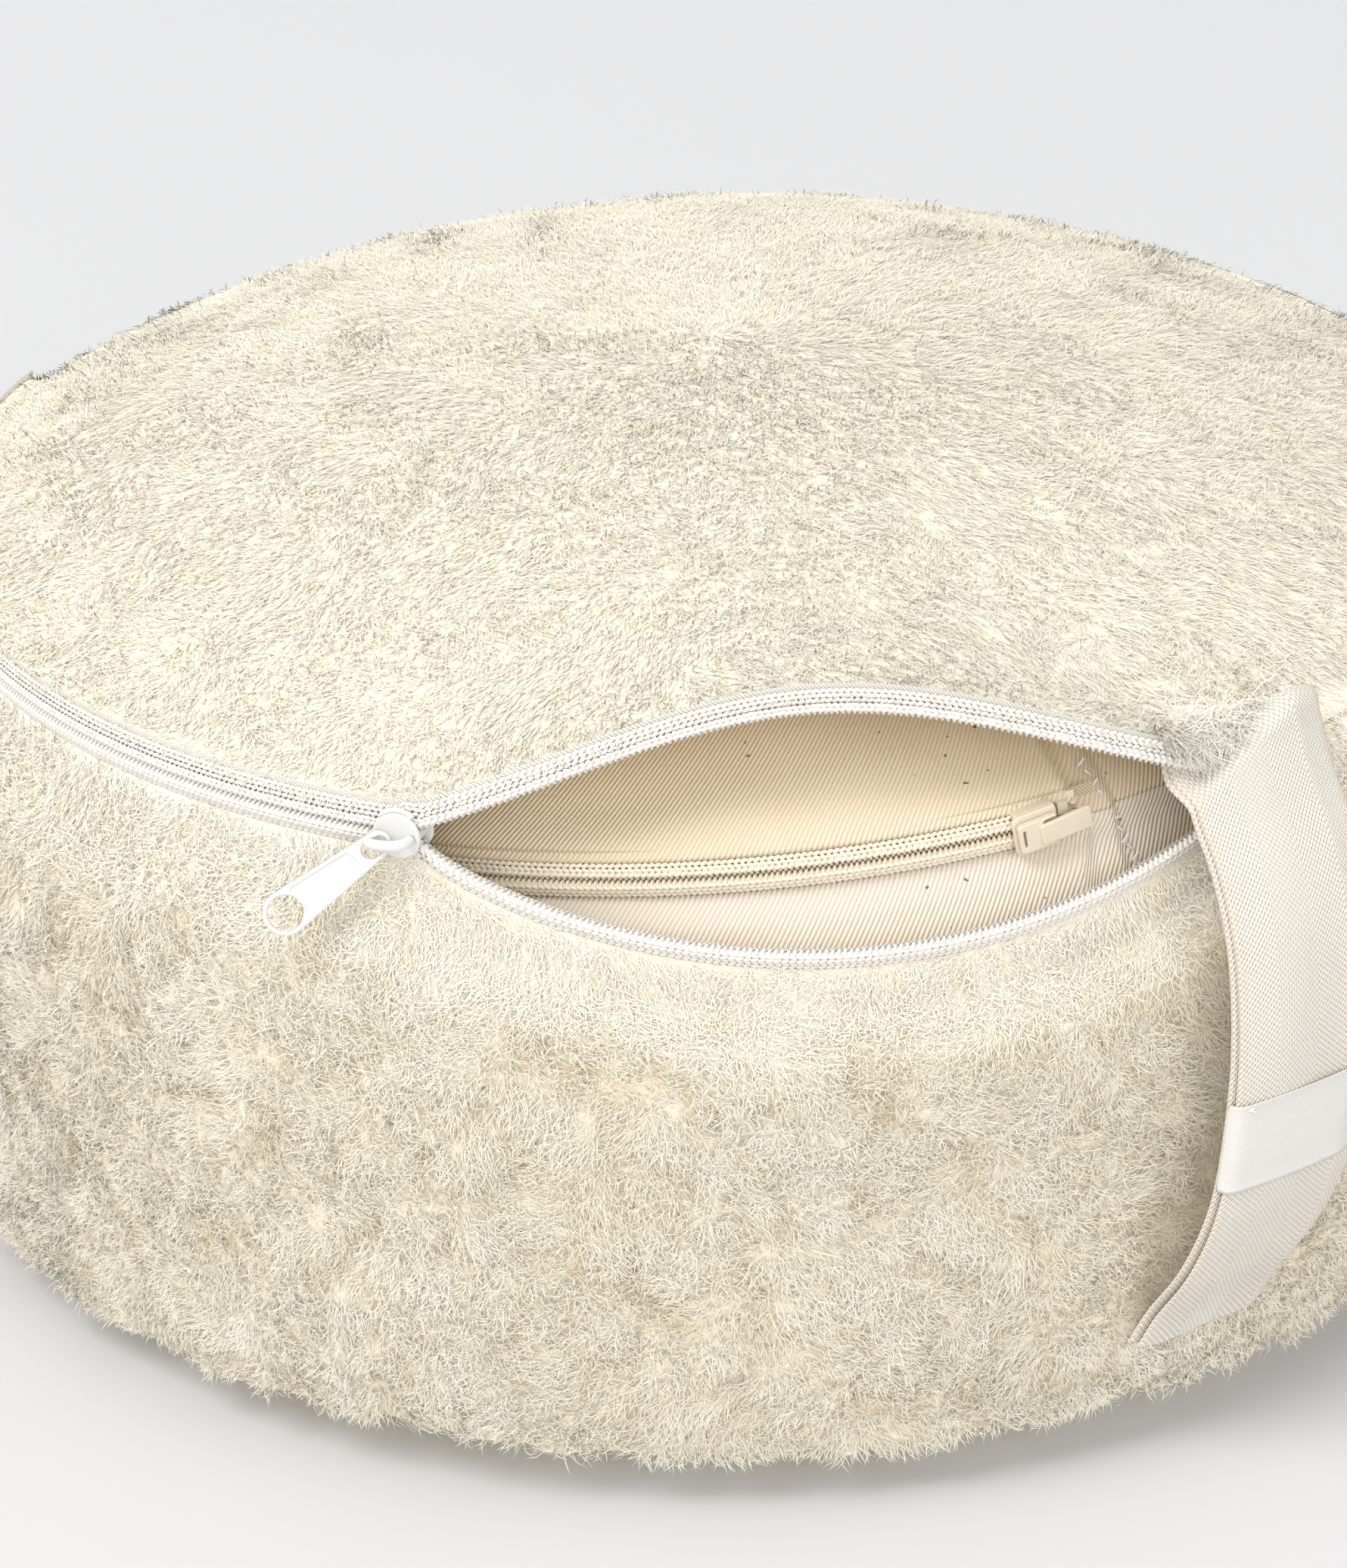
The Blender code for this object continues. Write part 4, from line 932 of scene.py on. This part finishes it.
cover_pull = [moulded_plate("cover_pull_plate", [outer, eye, ring_hole], 1.05, 0.4,
                            pull_frame @ flat_on, "cover_pull"),
              moulded_plate("cover_pull_rim", [outer, panel, eye, ring_hole], 1.6, 0.42,
                            pull_frame @ flat_on, "cover_pull")]
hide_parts("cover_pull_tab")
for piece in cover_slider + cover_pull:
    white_nylon.on(piece)


# ---------------------------------------------------------------------------------------------
# Casing slider and its tab: beige moulded nylon, smaller and squarer, with a broad cap slotted
# at its left end and a short flat tab that comes out between two prongs.

beige_nylon = mottled("beige_moulded_nylon", 220.0, (0.76, 0.66, 0.51), (0.82, 0.73, 0.59),
                      Roughness=0.4, Subsurface_Weight=0.1, Subsurface_Scale=0.002)
beige_nylon.relief(beige_nylon.noise(1800.0, 2.0), 0.00004)

small_frame = (Matrix.Translation((0.0, 0.0, CASING_SEAM_H))
               @ Matrix.Rotation(math.radians(-CASING_TILT), 4, "Y")
               @ Matrix.Rotation(math.radians(CASING_SLIDER_AT), 4, "Z"))
askew = Matrix.Rotation(math.radians(-7.0), 4, "Y")
small_face = CASING_ZIP_R + PLATE_OFF


def small_place(out):
    return small_frame @ Matrix.Translation((0.0, -(small_face + out), 0.0)) @ askew @ flat_on


def mirrored(points):
    """An outline whose second half mirrors the first across the zip."""
    return points + [(x, -y) for x, y in reversed(points)]


front = mirrored([(-5.2, -3.6), (-4.2, -4.7), (4.6, -4.7), (4.9, -3.6)])
back = [(-4.8, -4.0), (5.4, -4.2), (5.4, 4.2), (-4.8, 4.0)]
cap = mirrored([(-4.7, -2.9), (-3.9, -3.4), (3.9, -3.5), (4.1, -2.8), (1.4, -2.75), (0.9, -2.3)])
cap_slot = [(-3.75, -1.9), (-3.2, -1.9), (-3.2, 1.9), (-3.75, 1.9)]
casing_slider = [
    moulded_plate("casing_slider_front", [soft_corners(front, 0.35)], 1.1, 0.35, small_place(0.00055),
                  "casing_slider"),
    moulded_plate("casing_slider_back", [soft_corners(back, 0.8)], 0.9, 0.3, small_place(-0.0034),
                  "casing_slider"),
    moulded_plate("casing_slider_cap", [soft_corners(cap, 0.25), soft_corners(cap_slot, 0.2)], 1.5, 0.3,
                  small_place(0.0021), "casing_slider")]
for side, word in ((1.0, "upper"), (-1.0, "lower")):
    wall = [(-4.4, side * 4.75), (4.5, side * 4.75), (4.5, side * 4.15), (-4.4, side * 4.15)]
    casing_slider.append(moulded_plate("casing_slider_wall_" + word, [soft_corners(wall, 0.2)], 2.6, 0.2,
                                       small_place(-0.0010), "casing_slider"))
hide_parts("casing_slider")
small_pull = (small_frame @ Matrix.Translation((0.0012, -(CASING_ZIP_R + 0.00565), 0.0)) @ askew
              @ Matrix.Rotation(math.radians(4.0), 4, "Z"))
tab = [(-1.3, -2.3), (10.6, -2.55), (10.6, 2.55), (-1.3, 2.3)]
casing_pull = moulded_plate("casing_pull_tab_plate", [soft_corners(tab, 0.7)], 1.15, 0.3,
                            small_pull @ flat_on, "casing_pull")
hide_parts("casing_pull_tab")
for piece in casing_slider + [casing_pull]:
    beige_nylon.on(piece)


# ---------------------------------------------------------------------------------------------
# Handle: a loop of herringbone cotton tape laid double, sewn in at the crown seam and again near
# the foot, so that it bows off the side. A satin label, left blank, is folded round it.

STRAP_AT = 33.0
STRAP_W = 0.038
STRAP_HALF_T = 0.0006
STRAP_FOOT_H = 0.033
LABEL_LOW, LABEL_HIGH = 0.0735, 0.0945
LABEL_T = 0.00045
STRAP_STAND = 0.0125    # how far the handle bows off the side
CLEAR = 0.0018          # room for the pile under its sewn top end
swell = SEAM_R + BULGE
strap_stops = [(SEAM_R * s + CLEAR, SEAM_H + 0.0062 * s + float(crown_height(s)) + CLEAR)
               for s in (0.970, 0.985)]
strap_stops += [
    (SEAM_R + CLEAR, SEAM_H + 0.0045), (SEAM_R + 0.46 * BULGE, SEAM_H - 0.0045), (0.203, 0.139),
    (swell + 0.52 * STRAP_STAND, 0.125), (swell + 0.90 * STRAP_STAND, 0.106),
    (swell + STRAP_STAND, BELLY_H + 0.014), (swell + 0.95 * STRAP_STAND, BELLY_H - 0.004),
    (swell + 0.62 * STRAP_STAND, BELLY_H - 0.020), (float(band_radius(0.041)) + 0.0022, 0.041),
    (float(band_radius(STRAP_FOOT_H)) + 0.0003, STRAP_FOOT_H)]


def strap_point(line, across, depth, extra):
    """A point of the handle: line is its (radius, height) path, depth the distance out from it."""
    r, z = line[:, 0][:, None], line[:, 1][:, None]
    ahead = unit(np.gradient(line, axis=0))
    r_out, z_out = -ahead[:, 1][:, None], ahead[:, 0][:, None]
    level = 0.65 * SEAM_H
    drop = np.maximum(0.0, (level - z) / (level - STRAP_FOOT_H))
    x = across + 0.12 * (z - level) - 0.007 * drop ** 3 + extra
    out = depth - 0.0011 * (across / (0.5 * STRAP_W)) ** 2 - 0.30 * np.maximum(0.0, across - 0.0105)
    out = out - 0.0062 * smooth((z - 0.1500 - 0.42 * (across + 0.5 * STRAP_W)) / 0.007)
    r, z = r + r_out * out, z + z_out * out
    turn = math.radians(STRAP_AT)
    return np.stack([x * math.cos(turn) + r * math.sin(turn), x * math.sin(turn) - r * math.cos(turn),
                     z + 0.0 * x], -1)


def slab(name, front, back, lie):
    """A closed thin piece between two matching grids."""
    rows, cols = front.shape[:2]
    faces = grid_faces(rows, cols)
    count = rows * cols
    grid = np.arange(count).reshape(rows, cols)
    edges = []
    for line in (grid[0], grid[:, -1], grid[-1, ::-1], grid[::-1, 0]):
        edges.append(np.stack([line[1:], line[:-1], line[:-1] + count, line[1:] + count], -1))
    made = add_mesh(name, np.concatenate([front.reshape(-1, 3), back.reshape(-1, 3)]),
                    [faces, faces[:, ::-1] + count, *edges])
    note(made, "lie", np.tile(lie.reshape(-1, 3), (2, 1)))
    return made


webbing = Finish("herringbone_tape", Roughness=0.88, Specular_IOR_Level=0.15)
across_tape, along_tape, _ = lie_of(webbing)
saw = webbing.node("ShaderNodeMath", {"operation": "PINGPONG"}, {0: across_tape + 0.019, 1: 0.0095})
bars = ((along_tape + saw * 1.15) * (2.0 * math.pi / 0.00125)).sine() * 0.5 + 0.5
ribs = (across_tape * (2.0 * math.pi / 0.00062)).sine() * 0.5 + 0.5
weave = bars * 0.65 + ribs * 0.35
edge = (across_tape.size() - 0.0172).over(0.0) * 0.55
tint = webbing.mix(weave, (0.76, 0.68, 0.56), (0.97, 0.945, 0.885))
tint = webbing.mix(webbing.noise(45.0, 2.0) * 0.2, tint, (0.97, 0.94, 0.88))
webbing.set(Base_Color=webbing.mix(edge, tint, (0.86, 0.76, 0.63)))
webbing.relief(weave + webbing.noise(2500.0, 2.0) * 0.3, 0.0005)

line = round_line(np.array(strap_stops), 22)
length = np.concatenate([[0.0], np.cumsum(np.linalg.norm(np.diff(line, axis=0), axis=-1))])
across = np.linspace(-0.5, 0.5, 57)[None] * STRAP_W
round_edge = np.sqrt(np.maximum(0.03, 1.0 - np.abs(across / (0.5 * STRAP_W)) ** 10))
for word, depth, extra in (("outer", 0.0015, 0.0), ("inner", 0.0, -0.0011)):
    ripple = 0.00035 * np.sin(across * 240.0 + length[:, None] * 25.0 + depth * 900.0)
    middle = depth + STRAP_HALF_T + ripple
    lie = np.stack(np.broadcast_arrays(across, length[:, None], 0.0), -1)
    front, back = (strap_point(line, across, middle + half * round_edge, extra)
                   for half in (STRAP_HALF_T, -STRAP_HALF_T))
    made = slab(f"handle_tape_{word}_cloth", front, back, lie)
    webbing.on(made)
    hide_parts("handle_tape_" + word)

satin = Finish("satin_label", Roughness=0.42, Specular_IOR_Level=0.4)
threads = (lie_of(satin)[1] * (2.0 * math.pi / 0.00030)).sine() * 0.5 + 0.5
satin.set(Base_Color=satin.mix(threads * 0.4 + satin.noise(60.0, 2.0) * 0.6,
                               (0.73, 0.715, 0.665), (0.81, 0.795, 0.75)))
satin.relief(threads, 0.00006)
keep = (line[:, 1] <= LABEL_HIGH) & (line[:, 1] >= LABEL_LOW)
first, last = np.flatnonzero(keep)[[0, -1]]
rows_at = np.linspace(first, last, 26)
label_line = np.stack([np.interp(rows_at, np.arange(len(line)), line[:, k]) for k in (0, 1)], -1)
run_down = np.linspace(0.0, 1.0, 26)[:, None]
turn = np.linspace(0.0, 1.0, 49)[None]
wrap = (turn - 0.5) * (STRAP_W + 0.0014)
lifted = 0.0028 + 0.0005 * np.exp(-run_down / 0.05) + 0.0004 * np.exp((run_down - 1.0) / 0.05)
folded = np.sqrt(np.maximum(0.0, 1.0 - (np.abs(wrap) / (0.5 * STRAP_W + 0.0007)) ** 16))
lifted = lifted - 0.0024 * (1.0 - folded)
lie = np.stack(np.broadcast_arrays(wrap, run_down * 0.021, 0.0), -1)
label = slab("handle_label_cloth", strap_point(label_line, wrap, lifted + LABEL_T, -0.0002),
             strap_point(label_line, wrap, lifted, -0.0002), lie)
satin.on(label)
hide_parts("handle_label")
corner = strap_point(label_line[1:4], np.array([[-0.0165]]), 0.0037, 0.0)[:, 0]
knot = stitches("label_knot", corner[:1] + np.array([[0.0, 0.0, 0.0], [0.0004, 0.0, -0.0005]]),
                np.array([[1.0, 0.5, 0.3], [0.8, 0.5, -0.6]]), unit(corner[[0, 0]] * [1.0, 1.0, 0.0]),
                0.0016, 0.0006, 0.0005)
tack_thread.on(knot)

# The brown end of the cover zip's tape, turned under at the right corner of the mouth
across, down = np.meshgrid(np.linspace(0.0, 1.0, 8), np.linspace(0.0, 1.0, 16))
place = around(0.1796 + 0.0012 * across, 31.4 + 2.4 * across + 0.3 * down, 0.1600 - 0.0150 * down)
tape_end = add_mesh("cover_zip_tape_end", place.reshape(-1, 3), grid_faces(16, 8)[:, ::-1])
note(tape_end, "lie", np.stack([across * 0.007, down * 0.015, 0.0 * down], -1).reshape(-1, 3))
brown_tape = zip_cloth("brown_tape_end", (0.40, 0.24, 0.18), (0.58, 0.41, 0.34), Roughness=0.85)
brown_tape.on(tape_end)

# Longer pile of the top panel, brushed down over the handle's sewn end
share, angle = np.meshgrid(np.linspace(1.0, 0.955, 12), np.linspace(29.0, 37.5, 41), indexing="ij")
place = top_place(share, angle)
normal = grid_normals(place)
place = place - normal * 0.0010
spots = cell_spots(place, int(2400 * quick_pile), rng)
root, up = at_spots(place, spots), at_spots(normal, spots)
hang = unit(root * [1.0, 1.0, 0.0]) * 0.9 + np.array([0.0, 0.0, -0.35])
shade_and_tone = 0.75 + 0.2 * drift(root, 0.006, 77)
grow_pile("handle_end_pile", root, up, along_cloth(hang, up), np.full(len(root), 0.0080),
          np.full(len(root), 0.45), shade_and_tone, 71, 1, pile)


# ---------------------------------------------------------------------------------------------
# Stage: a plain pale floor that turns up into the backdrop, three soft studio lamps and the
# camera, which looks down on the open zip from a little over an arm's length.

floor_finish = Finish("pale_paper", Base_Color=(0.672, 0.676, 0.688), Roughness=0.9, Specular_IOR_Level=0.1)
SWEEP_AT, SWEEP_R = 2.0, 1.0        # where the floor starts to turn up, and the radius of the turn
turn = np.radians(7.5 * np.arange(1, 13))
sweep = np.stack([SWEEP_AT + SWEEP_R * np.sin(turn), SWEEP_R - SWEEP_R * np.cos(turn)], -1)
line = np.concatenate([[(-9.0, 0.0), (SWEEP_AT, 0.0)], sweep, [(SWEEP_AT + SWEEP_R, 5.0)]])
y, x = np.meshgrid(line[:, 0], np.linspace(-10.0, 10.0, 9), indexing="ij")
paper = np.stack([x, y, np.repeat(line[:, 1:], 9, 1) - 0.0002], -1)
mesh = bpy.data.meshes.new("backdrop")
mesh.from_pydata(paper.reshape(-1, 3).tolist(), [], grid_faces(len(line), 9).tolist())
mesh.shade_smooth()
backdrop = bpy.data.objects.new("backdrop", mesh)
bpy.context.scene.collection.objects.link(backdrop)
floor_finish.on(backdrop)


def lamp(name, place, aim, size, power, color=(1.0, 1.0, 1.0)):
    light = bpy.data.lights.new(name, "AREA")
    light.shape = "SQUARE"
    light.size = size
    light.energy = power
    light.color = color
    made = bpy.data.objects.new(name, light)
    made.location = place
    made.rotation_euler = (Vector(aim) - Vector(place)).to_track_quat("-Z", "Y").to_euler()
    bpy.context.scene.collection.objects.link(made)


lamp("key_lamp", (-2.2, -1.6, 4.2), (0.0, 0.3, 0.1), 2.2, 118.0, (1.0, 0.985, 0.955))
lamp("fill_lamp", (1.6, -2.6, 1.6), (0.0, 0.0, 0.1), 1.8, 16.0)
lamp("front_lamp", (-0.2, -3.0, 1.2), (0.0, 0.0, 0.1), 1.6, 16.0)

world = bpy.data.worlds.new("studio")
world.use_nodes = True
world.node_tree.nodes["Background"].inputs["Color"].default_value = (1.0, 1.0, 1.0, 1.0)
world.node_tree.nodes["Background"].inputs["Strength"].default_value = 0.86
bpy.context.scene.world = world
bpy.context.scene.view_settings.view_transform = "Standard"

lens = bpy.data.cameras.new("camera")
lens.sensor_fit = "HORIZONTAL"
lens.sensor_width = 36.0
lens.lens = 120.17
camera = bpy.data.objects.new("camera", lens)
CAMERA_AT = (-0.0059, -0.9819, 0.5836)
LOOK_DOWN, LOOK_ASIDE, ROLL = 0.48022, 0.0075, -0.0323
camera.matrix_world = (Matrix.Translation(CAMERA_AT) @ Matrix.Rotation(LOOK_ASIDE, 4, "Z")
                       @ Matrix.Rotation(0.5 * math.pi - LOOK_DOWN, 4, "X") @ Matrix.Rotation(ROLL, 4, "Z"))
bpy.context.scene.collection.objects.link(camera)
bpy.context.scene.camera = camera
